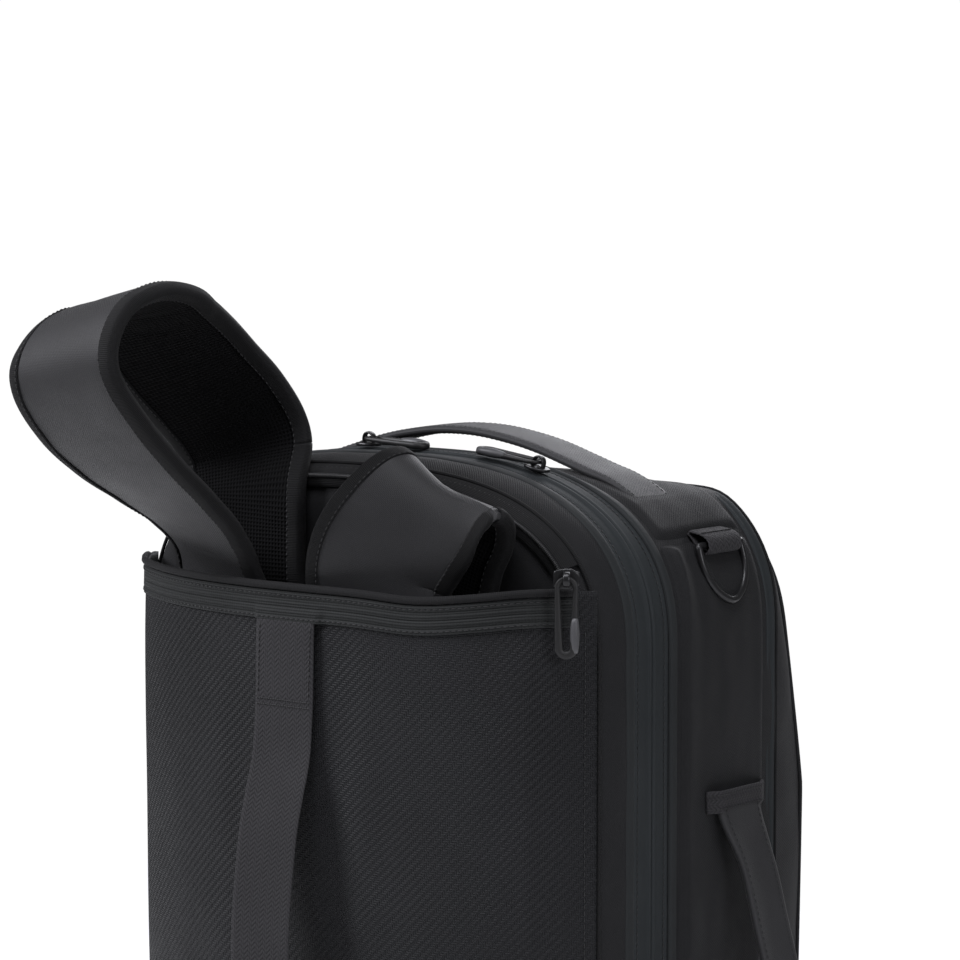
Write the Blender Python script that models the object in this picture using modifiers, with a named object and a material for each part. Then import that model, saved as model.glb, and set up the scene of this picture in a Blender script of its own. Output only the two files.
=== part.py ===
"""A convertible travel backpack: a soft shell that carries upright or on its side.

Frame: metres, +Z up, the bag stands on Z = 0. +Y is the harness side, which meets the wearer's back,
-Y the front, and the side carry handle is on the -X side. The origin is the middle of the base.
The laptop compartment swings open about a fabric hinge on the +X side, and the front lid folds down.
"""

import math

import bmesh
import bpy
from mathutils import Vector

# ---------------------------------------------------------------- driving dimensions
WIDTH = 0.320
HEIGHT = 0.520
CROWN = 0.100            # height of the rounded top of the outline
CROWN_POWER = 2.6        # superellipse exponent of the rounded top
BASE_RADIUS = 0.045      # bottom corners of the outline
WALL = 0.006             # padded fabric wall
FIT = 0.0005             # gap between neighbouring pieces

REAR_ZIP_Y = 0.050       # centre of the zip between main and laptop compartments
BACK_Y = 0.100           # outer face of the back wall
SEAM_Y = -0.062          # seam between side gusset and front
FRONT_Y = -0.117         # deepest point of the front
BELLY_Z = 0.330          # height of that point
TAPE_WIDTH = 0.0155      # one side of a zip
RECESS = 0.002           # zip tapes lie this deep in the shell
TAPE = 0.0013
LID_INSET = 0.045        # lid edge, in from the outline
TOP_DIP = 0.012          # sag of the top under the handle
FRONT_TOP = 0.4980       # the top slopes down to this height at the front seam
TOP_SLOPE = ((0.0, 0.5125), (-0.020, 0.5060), (-0.040, 0.5005))   # (Y, height) on the way there
ROOF_SOFTNESS = 0.0030   # how gently the sides round over into that top

MOUTH_Z = 0.4575         # mouth of the stash pocket
PANEL_HALF = 0.155
PANEL_BASE_Z = 0.022
PANEL_BULGE = 0.060      # the stowed harness fills the pocket this deep
PANEL_SKIN = 0.0025
STRAP_HALF = 0.0415      # half the width of a shoulder strap
STRAP_THICK = 0.011

SIDE_STEPS, CORNER_STEPS, BASE_STEPS, CROWN_STEPS = 6, 4, 4, 22

# ---------------------------------------------------------------- joint positions
REAR_HINGE = Vector((WIDTH / 2 + 0.0006, REAR_ZIP_Y, 0.21))
LID_HINGE = Vector((0.0, -0.1074, LID_INSET - 0.001))
PANEL_HINGE = Vector((0.0, BACK_Y + 0.001, PANEL_BASE_Z))
UPPER_RING = Vector((-0.1540, -0.020, 0.4733))
LOWER_RING = Vector((-0.1656, -0.020, 0.0900))
SIDE_HANDLE_Y = -0.023
SIDE_HANDLE_Z = (0.337, 0.150)
REAR_SLIDER_A = Vector((-0.084, REAR_ZIP_Y, 0.5134))
REAR_SLIDER_B = Vector((0.032, REAR_ZIP_Y, 0.5200))
STASH_SLIDER = Vector((-0.1495, 0.1112, 0.4665))
FRONT_SLIDER_Z = 0.300
POCKET_ZIP_Z = 0.352
PULL_WIDTH, PULL_LENGTH, PULL_RIM = 0.0120, 0.043, 0.0024
PULL_LEAD = 0.0018       # the pull's end beyond its pivot
PULL_LIE_A, PULL_LIE_B = 0.09, 0.06   # how steeply the rear pulls lie on the crown
TO_BACK, TO_FRONT = (0, 1, 0), (0, -1, 0)


def clear_scene():
    for obj in list(bpy.data.objects):
        bpy.data.objects.remove(obj, do_unlink=True)


def material(name, rgb, roughness, metallic=0.0):
    made = bpy.data.materials.new(name)
    made.use_nodes = True
    shader = made.node_tree.nodes["Principled BSDF"]
    shader.inputs["Base Color"].default_value = (*rgb, 1.0)
    shader.inputs["Roughness"].default_value = roughness
    shader.inputs["Metallic"].default_value = metallic
    return made


clear_scene()
bag = bpy.data.collections.new("travel_backpack")
helpers = bpy.data.collections.new("travel_backpack_helpers")
for collection in (bag, helpers):
    bpy.context.scene.collection.children.link(collection)

SHELL = material("shell_fabric", (0.022, 0.023, 0.025), 0.80)
PANEL = material("panel_fabric", (0.026, 0.028, 0.030), 0.72)
STRAP = material("strap_fabric", (0.030, 0.030, 0.033), 0.55)
WEBBING = material("webbing", (0.028, 0.029, 0.030), 0.85)
COATED = material("coated_zip_tape", (0.040, 0.047, 0.052), 0.42)
TRIM = material("trim_webbing", (0.018, 0.018, 0.019), 0.85)
LINING = material("lining_fabric", (0.120, 0.125, 0.130), 0.75)
FOAM = material("foam", (0.060, 0.060, 0.062), 0.95)
BOARD = material("stiffener", (0.050, 0.050, 0.050), 0.60)
MESH = material("mesh_fabric", (0.015, 0.015, 0.016), 0.90)
METAL = material("black_metal", (0.045, 0.045, 0.048), 0.32, 0.9)
MOULDED = material("moulded_plastic", (0.020, 0.020, 0.021), 0.45)


# ---------------------------------------------------------------- bodies
def body(name, at, parent=None):
    """An empty on the joint's axis, which carries everything that moves with it."""
    empty = bpy.data.objects.new(name + "_body", None)
    empty.empty_display_size = 0.02
    bag.objects.link(empty)
    place_under(empty, parent)
    empty.matrix_world.translation = at
    bpy.context.view_layer.update()
    return empty


def place_under(obj, parent):
    if parent is not None:
        obj.parent = parent
        obj.matrix_parent_inverse = parent.matrix_world.inverted()


def add_object(name, bm, finish, parent, facing=None, smooth=40.0):
    """Makes a mesh object from world-space geometry, with its origin at its own middle.

    A nearly flat sheet is given the way it faces, since it has no inside to tell it by."""
    bmesh.ops.recalc_face_normals(bm, faces=bm.faces)
    if facing is not None:
        total = Vector((0, 0, 0))
        for face in bm.faces:
            total += face.normal * face.calc_area()
        if total.dot(Vector(facing)) < 0:
            bmesh.ops.reverse_faces(bm, faces=bm.faces)
    mesh = bpy.data.meshes.new(name)
    bm.to_mesh(mesh)
    bm.free()
    low = Vector([min(v.co[k] for v in mesh.vertices) for k in range(3)])
    high = Vector([max(v.co[k] for v in mesh.vertices) for k in range(3)])
    middle = (low + high) / 2
    for vertex in mesh.vertices:
        vertex.co -= middle
    mesh.materials.append(finish)
    mesh.shade_smooth()
    mesh.set_sharp_from_angle(angle=math.radians(smooth))
    obj = bpy.data.objects.new(name, mesh)
    bag.objects.link(obj)
    obj.location = middle
    place_under(obj, parent)
    bpy.context.view_layer.update()
    return obj


def solidify(obj, thickness, offset=-1.0):
    """Gives a sheet its thickness: offset -1 grows it inwards from its face, +1 outwards."""
    modifier = obj.modifiers.new("Thickness", "SOLIDIFY")
    modifier.thickness = thickness
    modifier.offset = offset
    modifier.use_even_offset = True
    return obj


def bevel(obj, width, segments=1):
    modifier = obj.modifiers.new("Soft edges", "BEVEL")
    modifier.width = width
    modifier.segments = segments
    modifier.limit_method = "ANGLE"
    modifier.angle_limit = math.radians(50)
    return obj


# ---------------------------------------------------------------- the bag's outline
def outline(inset):
    """XZ points of the outline, from the top of the +X side down, along the base, up and over the crown."""
    a = WIDTH / 2 - inset
    top = HEIGHT - inset
    crown = CROWN - inset
    shoulder = top - crown
    radius = max(BASE_RADIUS - inset, 0.012)
    low = inset
    points = []
    for k in range(SIDE_STEPS):
        points.append((a, shoulder + (low + radius - shoulder) * k / SIDE_STEPS))
    for k in range(CORNER_STEPS):
        turn = math.radians(90) * k / CORNER_STEPS
        points.append((a - radius + radius * math.cos(turn), low + radius - radius * math.sin(turn)))
    for k in range(BASE_STEPS):
        points.append(((a - radius) * (1 - 2 * k / BASE_STEPS), low))
    for k in range(CORNER_STEPS):
        turn = math.radians(90) * k / CORNER_STEPS
        points.append((-(a - radius) - radius * math.sin(turn), low + radius - radius * math.cos(turn)))
    for k in range(SIDE_STEPS):
        points.append((-a, low + radius + (shoulder - low - radius) * k / SIDE_STEPS))
    for k in range(CROWN_STEPS):
        turn = math.pi * (1 - k / CROWN_STEPS)
        across = abs(math.cos(turn)) ** (2 / CROWN_POWER) * math.copysign(1, math.cos(turn))
        points.append((a * across, shoulder + crown * abs(math.sin(turn)) ** (2 / CROWN_POWER)))
    return points


FIRST_BASE = SIDE_STEPS                                # where the straight +X side ends
FIRST_LEFT = SIDE_STEPS + 2 * CORNER_STEPS + BASE_STEPS
FIRST_CROWN = FIRST_LEFT + SIDE_STEPS
OUTLINE_POINTS = FIRST_CROWN + CROWN_STEPS
ZIP_ROUTE = [k % OUTLINE_POINTS for k in range(FIRST_BASE, OUTLINE_POINTS + 1)]
HINGE_ROUTE = list(range(FIRST_BASE + 1))
# the lid's zip runs up one side, over the top and down the other, and leaves the base as its hinge
LID_ZIP_ROUTE = [k % OUTLINE_POINTS for k in range(FIRST_LEFT, OUTLINE_POINTS + SIDE_STEPS + 1)]
LID_HINGE_ROUTE = list(range(FIRST_BASE + CORNER_STEPS, FIRST_BASE + CORNER_STEPS + BASE_STEPS + 1))


def front_y(z):
    """Y of the front face, which leans back above the belly and draws in a little below it."""
    if z > BELLY_Z:
        return FRONT_Y + 0.30 * (z - BELLY_Z) ** 1.1
    return FRONT_Y + 0.045 * (BELLY_Z - z) ** 1.2


def under_roof(z, roof):
    """Height z, rounded over softly so that it stays below the roof."""
    return z - ROOF_SOFTNESS * math.log1p(math.exp((z - roof) / ROOF_SOFTNESS))


def ring(y, inset, dip=0.0, roof=HEIGHT + 0.1):
    """The outline at depth y. dip lowers the middle of the crown, and roof flattens its top."""
    points = []
    for x, z in outline(inset):
        sag = dip * max(0.0, 1 - (x / 0.125) ** 2) if z > HEIGHT - 0.07 else 0.0
        points.append(Vector((x, y, under_roof(z - sag, roof))))
    return points


def front_outline(inset):
    return [(x, under_roof(z, FRONT_TOP - inset)) for x, z in outline(inset)]


def front_ring(share, inset, proud=0.0):
    """The outline between the side seam (share 0) and the front face (share 1)."""
    return [
        Vector((x, SEAM_Y + (front_y(z) - SEAM_Y) * share - proud, z))
        for x, z in front_outline(inset)
    ]


def skin(rings, closed=True, cap=False, caps=False):
    """A sheet through rows of points; closed joins each row's ends, cap fills the last row, caps both."""
    bm = bmesh.new()
    rows = [[bm.verts.new(p) for p in row] for row in rings]
    count = len(rows[0])
    for first, second in zip(rows, rows[1:]):
        for k in range(count if closed else count - 1):
            n = (k + 1) % count
            bm.faces.new((first[k], first[n], second[n], second[k]))
    if cap or caps:
        bm.faces.new(rows[-1])
    if caps:
        bm.faces.new(rows[0])
    return bm


def along(points, route):
    return [points[k] for k in route]


def ribbon(name, centres, halves, thickness, finish, parent, soft=0.0):
    """A flat strap through centre points, with half its width as a vector at each."""
    rows = [[c - h, c, c + h] for c, h in zip(centres, halves)]
    obj = solidify(add_object(name, skin(rows, closed=False), finish, parent), thickness, 0.0)
    return bevel(obj, soft) if soft else obj


def box(name, centre, size, finish, parent, soft=0.0):
    bm = bmesh.new()
    bmesh.ops.create_cube(bm, size=1.0)
    bmesh.ops.scale(bm, vec=Vector(size), verts=bm.verts)
    bmesh.ops.translate(bm, vec=Vector(centre), verts=bm.verts)
    obj = add_object(name, bm, finish, parent)
    return bevel(obj, soft) if soft else obj


def smooth_path(points, steps):
    """Points on a smooth curve through the given ones, as Catmull-Rom spans."""
    ends = [points[0] * 2 - points[1], *points, points[-1] * 2 - points[-2]]
    made = []
    for a, b, c, d in zip(ends, ends[1:], ends[2:], ends[3:]):
        for k in range(steps):
            t = k / steps
            made.append(
                (b * 2 + (c - a) * t + (a * 2 - b * 5 + c * 4 - d) * t * t
                 + (b * 3 - a - c * 3 + d) * t ** 3) / 2
            )
    return [*made, points[-1]]


# ---------------------------------------------------------------- bodies and their pivots
rear_door = body("rear_door", REAR_HINGE)
stash = body("stash_panel", PANEL_HINGE, rear_door)
lid = body("front_lid", LID_HINGE)


# ---------------------------------------------------------------- main compartment
def build_main_compartment():
    shell = skin([
        ring(REAR_ZIP_Y - FIT / 2, RECESS),
        ring(REAR_ZIP_Y - TAPE_WIDTH, RECESS),
        ring(REAR_ZIP_Y - TAPE_WIDTH - FIT, 0.0),
        ring(0.018, 0.0, TOP_DIP * 0.75),
        ring(TOP_SLOPE[0][0], 0.0, TOP_DIP, TOP_SLOPE[0][1]),
        ring(TOP_SLOPE[1][0], 0.0, TOP_DIP * 0.7, TOP_SLOPE[1][1]),
        ring(TOP_SLOPE[2][0], 0.0, 0.0, TOP_SLOPE[2][1]),
        front_ring(0.0, 0.0),
        front_ring(0.45, 0.003),
        front_ring(0.80, 0.010),
        front_ring(0.96, 0.020),
        front_ring(1.0, 0.030),
        front_ring(1.0, LID_INSET - 0.0006),
    ])
    solidify(add_object("main_shell", shell, SHELL, None), WALL)
    divider = skin([ring(0.0395, WALL + 0.003, TOP_DIP)], cap=True)
    solidify(add_object("divider_panel", divider, LINING, None, TO_BACK), 0.005, 1.0)
    box("base_board", (0, -0.013, 0.0088), (0.224, 0.074, 0.0030), BOARD, None, 0.0008)
    sleeve()


def sleeve():
    """Open-topped laptop sleeve on the laptop side of the divider."""
    half, depth, low, high, cloth = 0.130, 0.0262, 0.040, 0.335, 0.002
    near, corner = 0.0452, 0.020
    across = [(-half, near), (-half, near + depth), (half, near + depth), (half, near)]
    bm = bmesh.new()
    rows = []
    for z in (low, low + corner, high):
        rows.append([bm.verts.new((x, y, z)) for x, y in across])
    for first, second in zip(rows, rows[1:]):
        for k in range(3):
            bm.faces.new((first[k], first[k + 1], second[k + 1], second[k]))
    bm.faces.new(rows[0])
    obj = add_object("laptop_sleeve", bm, LINING, None)
    solidify(obj, cloth)


# ---------------------------------------------------------------- laptop compartment and back
REAR_EDGE = ((0.0660, 0.000), (0.0780, 0.0010), (0.0895, 0.0055), (0.0965, 0.0140), (BACK_Y, 0.0260))


def back_y(x, z):
    """Y of the back wall's outer face, rounded where it meets the sides and the base."""
    inset = max(0.0, min(WIDTH / 2 - abs(x), z))
    for (y0, i0), (y1, i1) in zip(REAR_EDGE, REAR_EDGE[1:]):
        if inset <= i1:
            return y0 + (y1 - y0) * (inset - i0) / (i1 - i0)
    return BACK_Y


def build_laptop_compartment():
    shell = skin(
        [ring(REAR_ZIP_Y + FIT / 2, RECESS), ring(REAR_ZIP_Y + TAPE_WIDTH, RECESS)]
        + [ring(y, inset) for y, inset in REAR_EDGE],
        cap=True,
    )
    solidify(add_object("rear_shell", shell, SHELL, rear_door), WALL)
    foam = skin([ring(BACK_Y - WALL - 0.0008, 0.040)], cap=True)
    solidify(add_object("back_foam", foam, FOAM, rear_door, TO_FRONT), 0.004, 1.0)


# ---------------------------------------------------------------- zips
def build_zip_tapes():
    near, far = REAR_ZIP_Y - FIT / 2 - 0.0003, REAR_ZIP_Y - TAPE_WIDTH + 0.0004
    tapes = (
        ("rear_zip_tape_main", near, far, None),
        ("rear_zip_tape_door", 2 * REAR_ZIP_Y - near, 2 * REAR_ZIP_Y - far, rear_door),
    )
    for name, first, last, parent in tapes:
        rows = [along(ring(y, RECESS - TAPE - 0.0003), ZIP_ROUTE) for y in (first, last)]
        solidify(add_object(name, skin(rows, closed=False), COATED, parent), TAPE)
    rows = [along(ring(y, RECESS - TAPE - 0.0003), HINGE_ROUTE) for y in (near, far)]
    rows = [[Vector((p.x, p.y, min(max(p.z, 0.052), 0.412))) for p in row] for row in rows]
    solidify(add_object("rear_hinge_strip", skin(rows, closed=False), TRIM, None, (1, 0, 0)), TAPE)

    rim = [along(front_ring(1.0, inset, 0.0018), LID_ZIP_ROUTE) for inset in (0.031, LID_INSET - 0.001)]
    solidify(add_object("front_zip_tape_main", skin(rim, closed=False), COATED, None, TO_FRONT), TAPE)
    edge = [along(front_ring(1.0, inset, 0.0018), LID_ZIP_ROUTE) for inset in (LID_INSET + 0.001, 0.0590)]
    solidify(add_object("front_zip_tape_lid", skin(edge, closed=False), COATED, lid, TO_FRONT), TAPE)
    strip = [along(front_ring(1.0, inset, 0.0018), LID_HINGE_ROUTE) for inset in (0.031, LID_INSET - 0.002)]
    solidify(add_object("lid_hinge_strip", skin(strip, closed=False), TRIM, None, TO_FRONT), TAPE)


# ---------------------------------------------------------------- front lid
def lid_point(x, z, bulge):
    return Vector((x, front_y(z) - bulge, z))


def build_front_lid():
    middle_z = 0.262
    rings = [front_ring(1.0, LID_INSET + 0.0006), front_ring(1.0, 0.0600)]
    for share in (0.80, 0.58, 0.34, 0.14):
        bulge = 0.006 * (1 - share ** 2)
        rings.append([
            lid_point(x * share, middle_z + (z - middle_z) * share, bulge)
            for x, z in front_outline(0.0600)
        ])
    solidify(add_object("lid_panel", skin(rings, cap=True), SHELL, lid, TO_FRONT), 0.005)

    # zipped pocket across the lid: tape outside, pocket bag inside
    half = 0.080
    rows = []
    for z in (POCKET_ZIP_Z - 0.014, POCKET_ZIP_Z + 0.014):
        rows.append([
            Vector((half * (k / 6 * 2 - 1), front_y(z) - 0.0085, z)) for k in range(7)
        ])
    solidify(add_object("front_pocket_zip_tape", skin(rows, closed=False), COATED, lid, TO_FRONT), TAPE)
    grid = []
    for z in (0.135, 0.200, 0.265, 0.330):
        grid.append([Vector((0.072 * k, front_y(z) + 0.0095, z)) for k in (-1, 0, 1)])
    solidify(add_object("front_pocket_bag", skin(grid, closed=False), LINING, lid, TO_BACK), 0.0015, 1.0)
    mesh_rows = []
    for z in (0.090, 0.150, 0.215, 0.280):
        stand = 0.0240 if z > 0.1 else 0.0100
        mesh_rows.append([
            Vector((0.092 * k / 3, front_y(z) + (stand if abs(k) < 3 else 0.0100), z)) for k in range(-3, 4)
        ])
    solidify(add_object("lid_mesh_pocket", skin(mesh_rows, closed=False), MESH, lid, TO_BACK), 0.0015, 1.0)


# ---------------------------------------------------------------- stash pocket on the back
def panel_y(x, z):
    """Y of the stash panel's inner face."""
    u = min(1.0, abs(x) / PANEL_HALF)
    v = max(0.0, (z - PANEL_BASE_Z) / (MOUTH_Z - PANEL_BASE_Z))
    rise = (1 - max(0.0, 1 - v) ** 3) * (1 - 0.16 * v ** 3)
    return back_y(x, z) + 0.0010 + PANEL_BULGE * rise * (1 - u ** 3)


def mouth_z(x):
    return MOUTH_Z - 0.002 * (1 - (x / PANEL_HALF) ** 2)


def build_stash_pocket():
    xs = [PANEL_HALF * s for s in (-1, -0.96, -0.88, -0.7, -0.45, -0.2, 0, 0.2, 0.45, 0.7, 0.88, 0.96, 1)]
    shares = (0, 0.04, 0.12, 0.25, 0.42, 0.60, 0.78, 0.90, 0.96, 1)
    rows = []
    for share in shares:
        row = []
        for x in xs:
            z = PANEL_BASE_Z + (mouth_z(x) - PANEL_BASE_Z) * share
            half = PANEL_HALF if z > 0.06 else PANEL_HALF - 0.012 * (1 - (z - PANEL_BASE_Z) / 0.038) ** 2
            x = x * half / PANEL_HALF
            row.append(Vector((x, panel_y(x, z), z)))
        rows.append(row)
    solidify(add_object("stash_panel", skin(rows, closed=False), PANEL, stash, TO_BACK), PANEL_SKIN, 1.0)

    off = PANEL_SKIN + 0.0014
    band = [
        [Vector((x, panel_y(x, mouth_z(x) - drop) + off, mouth_z(x) - drop)) for x in xs[2:-2]]
        for drop in (0.0165, 0.0005)
    ]
    solidify(add_object("stash_mouth_tape", skin(band, closed=False), WEBBING, stash, TO_BACK), 0.0014, 1.0)
    trolley_strap(off)
    # the fixed half of the stash zip, along the rounded edge above the mouth
    route = list(range(FIRST_CROWN + 3, FIRST_CROWN + CROWN_STEPS - 2))
    rows = [along(ring(0.0941, 0.0090), route), along(ring(0.0988, 0.0170), route)]
    solidify(add_object("stash_zip_tape_upper", skin(rows, closed=False), TRIM, rear_door, TO_BACK), TAPE, 1.0)


def trolley_strap(off):
    """Webbing sewn to the panel at both ends, with a gap behind it for a suitcase handle."""
    half = 0.0200
    centres = []
    for z, gap in (
        (0.4325, 0.0), (0.395, 0.0), (0.368, 0.0010), (0.345, 0.0070), (0.320, 0.0125), (0.264, 0.0190),
        (0.205, 0.0185), (0.150, 0.0130), (0.118, 0.0040), (0.100, 0.0008), (0.060, 0.0),
    ):
        centres.append(Vector((0, panel_y(0, z) + off + 0.0014 + gap, z)))
    halves = [Vector((half, 0, 0))] * len(centres)
    ribbon("trolley_strap", centres, halves, 0.0022, WEBBING, stash)


# ---------------------------------------------------------------- shoulder straps
LEFT_ROUTE = [
    Vector(p) for p in (
        (-0.060, 0.1080, 0.4560), (-0.065, 0.1080, 0.4760), (-0.0715, 0.1080, 0.4920), (-0.0750, 0.1143, 0.5035),
        (-0.0690, 0.1240, 0.5000), (-0.0570, 0.1315, 0.4860), (-0.0445, 0.1345, 0.4650), (-0.0430, 0.1295, 0.4360),
        (-0.0450, 0.1215, 0.4040), (-0.046, 0.1150, 0.3720),
    )
]
LEFT_ACROSS = [
    Vector(p).normalized() for p in (
        (1, 0, 0.05), (1, 0, 0.15), (1, 0.02, 0.28), (1, 0.10, 0.36), (1, 0.20, 0.36), (1, 0.30, 0.26),
        (1, 0.34, 0.10), (1, 0.22, 0.03), (1, 0.06, 0), (1, 0, 0),
    )
]
RIGHT_ROUTE = [
    Vector(p) for p in (
        (0.072, 0.1080, 0.4560), (0.072, 0.1078, 0.4780), (0.072, 0.1072, 0.4990), (0.076, 0.1015, 0.5170),
        (0.079, 0.1058, 0.5315), (0.082, 0.1190, 0.5480), (0.085, 0.1360, 0.5640), (0.085, 0.1545, 0.5804),
        (0.082, 0.1736, 0.5940), (0.077, 0.1911, 0.6020), (0.074, 0.2130, 0.6035), (0.073, 0.2350, 0.5955),
        (0.073, 0.2470, 0.5783), (0.073, 0.2435, 0.5600), (0.073, 0.2240, 0.5370), (0.073, 0.2000, 0.5175),
        (0.073, 0.1720, 0.4990), (0.073, 0.1480, 0.4820), (0.072, 0.1325, 0.4640), (0.071, 0.1250, 0.4360),
        (0.070, 0.1185, 0.4040), (0.070, 0.1150, 0.3720),
    )
]
RIGHT_ACROSS = [
    Vector(p).normalized() for p in (
        (1, 0, 0), (1, 0, -0.04), (1, 0.01, -0.12), (1, 0.16, -0.18), (1, 0.30, -0.22), (1, 0.40, -0.25),
        (1, 0.44, -0.25), (1, 0.38, -0.25), (1, 0.24, -0.24), (1, 0.08, -0.24), (1, -0.04, -0.24),
        (1, -0.10, -0.24), (1, -0.11, -0.22), (1, -0.13, -0.22), (1, -0.16, -0.22), (1, -0.22, -0.18),
        (1, -0.32, -0.14), (1, -0.40, -0.10), (1, -0.36, -0.05), (1, -0.15, 0), (1, -0.03, 0), (1, 0, 0),
    )
]


def build_shoulder_strap(side, route, across):
    strap = body("strap_" + side, route[0], rear_door)
    centres = smooth_path(route, 2)
    halves = [d.normalized() * STRAP_HALF for d in smooth_path(across, 2)]
    ribbon("shoulder_strap_" + side, centres, halves, STRAP_THICK, STRAP, strap, 0.0030)

    # the sewn root carries on from the strap's end, down the back wall
    down = (route[0] - route[1]).normalized()
    root = [route[0] + down * d for d in (0.0008, 0.012, 0.024)]
    for point in root:
        point.y = BACK_Y + 0.0006 + 0.0045
    ribbon("strap_root_" + side, root, [across[0] * STRAP_HALF] * 3, 0.009, STRAP, rear_door)

    # ladder lock below the strap's end, with the adjusting webbing running through it
    end = route[-1]
    lock_z = end.z - 0.019
    lock_y = BACK_Y + 0.0066
    frame = box("ladder_lock_" + side, (end.x, lock_y, lock_z), (0.032, 0.0085, 0.026), MOULDED, strap)
    slot = box("lock_slot_" + side, (end.x, lock_y, lock_z), (0.0262, 0.0032, 0.040), MOULDED, None)
    slot.hide_render = True
    slot.display_type = "WIRE"
    bag.objects.unlink(slot)
    helpers.objects.link(slot)
    cut = frame.modifiers.new("Webbing slot", "BOOLEAN")
    cut.object = slot
    cut.operation = "DIFFERENCE"
    webbing = body("webbing_" + side, Vector((end.x, lock_y, lock_z)), strap)
    high, low = lock_z + 0.0135, lock_z - 0.130
    centres = [Vector((end.x, lock_y, high + (low - high) * k / 3)) for k in range(4)]
    curl = 0.0036
    for turn in (40, 85, 130, 175, 220, 265):
        angle = math.radians(turn)
        centres.append(Vector((end.x, lock_y + curl * (1 - math.cos(angle)), low - curl * math.sin(angle))))
    ribbon("strap_webbing_" + side, centres, [Vector((0.0125, 0, 0))] * len(centres), 0.0014, WEBBING, webbing)
    strap_hook(side, Vector((end.x, lock_y + curl, low)), webbing)


def strap_hook(side, at, parent):
    """Wire hook in the webbing's end, which clips the strap to the loop at the bottom corner of the bag."""
    path = [
        (-0.0140, -0.0080), (-0.0165, 0.0), (0.0165, 0.0), (0.0140, -0.0110), (0.0060, -0.0180),
        (0.0060, -0.0290), (0.0, -0.0360), (-0.0070, -0.0340), (-0.0090, -0.0270),
    ]
    curve = bpy.data.curves.new("strap_hook_" + side, "CURVE")
    curve.dimensions = "3D"
    curve.bevel_depth = 0.0020
    curve.bevel_resolution = 2
    curve.use_fill_caps = True
    spline = curve.splines.new("POLY")
    spline.points.add(len(path) - 1)
    for point, (dx, dz) in zip(spline.points, path):
        point.co = (dx, 0, dz, 1)
    curve.materials.append(METAL)
    obj = bpy.data.objects.new("strap_hook_" + side, curve)
    bag.objects.link(obj)
    obj.location = at
    place_under(obj, parent)


def build_lower_loops():
    """Webbing loops at the bottom corners of the back, where the strap hooks clip on."""
    for side, sign in (("left", -1), ("right", 1)):
        x, y = sign * (WIDTH / 2 + 0.0004), 0.0720
        path = [(0.0, 0.078), (0.0, 0.062), (0.0062, 0.058), (0.0085, 0.050), (0.0062, 0.042), (0.0, 0.038), (0.0, 0.024)]
        out = [Vector((x + sign * (dx + 0.0012), y, z + 0.040)) for dx, z in path]
        ribbon("lower_loop_" + side, out, [Vector((0, 0.0100, 0))] * len(out), 0.0018, WEBBING, rear_door)


# ---------------------------------------------------------------- handles
def build_top_handle():
    """Arched grab handle: the grip lifts, its two roots are sewn to the crown."""
    half = Vector((0, 0.0165, 0))
    thick = 0.0045
    arch = [(0.128, 0.4976), (0.116, 0.5029), (0.102, 0.5072), (0.0895, 0.5105), (0.0770, 0.5142)]
    for side, sign in (("left", -1), ("right", 1)):
        centres = [Vector((sign * x, -0.002, z)) for x, z in arch]
        ribbon("top_handle_root_" + side, centres, [half] * len(arch), thick, STRAP, None)
    grip = body("top_handle", Vector((0, -0.002, 0.514)))
    rise = [(0.0752, 0.5150), (0.055, 0.5212), (0.035, 0.5255), (0.012, 0.52845)]
    centres = [Vector((-x, -0.002, z)) for x, z in rise] + [Vector((x, -0.002, z)) for x, z in reversed(rise)]
    ribbon("top_handle_grip", centres, [half] * len(centres), thick, STRAP, grip, 0.0015)


def build_side_handle():
    """Carry handle on the -X side, which droops below its upper root."""
    half = Vector((0, 0.0190, 0))
    thick = 0.0060
    x0 = -(WIDTH / 2 + 0.0040)
    high, low = SIDE_HANDLE_Z
    upper = [(0.0, high), (-0.0030, high - 0.012), (-0.0085, high - 0.028), (-0.0135, high - 0.0425)]
    lower = [(-0.0160, low + 0.0325), (-0.0100, low + 0.0190), (-0.0035, low + 0.0070), (0.0, low - 0.0060)]
    grip = [
        (-0.0142, high - 0.0447), (-0.0200, high - 0.066), (-0.0262, high - 0.088), (-0.0310, high - 0.108),
        (-0.0315, high - 0.124), (-0.0255, high - 0.140), (-0.0172, low + 0.0352),
    ]
    for name, path in (("upper", upper), ("lower", lower)):
        centres = [Vector((x0 + dx, SIDE_HANDLE_Y, z)) for dx, z in path]
        ribbon("side_handle_root_" + name, centres, [half] * len(path), thick, STRAP, None)
    hinge = body("side_handle", Vector((x0, SIDE_HANDLE_Y, (high + low) / 2)))
    centres = [Vector((x0 + dx, SIDE_HANDLE_Y, z)) for dx, z in grip]
    ribbon("side_handle_grip", centres, [half] * len(grip), thick, STRAP, hinge, 0.0012)


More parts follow.
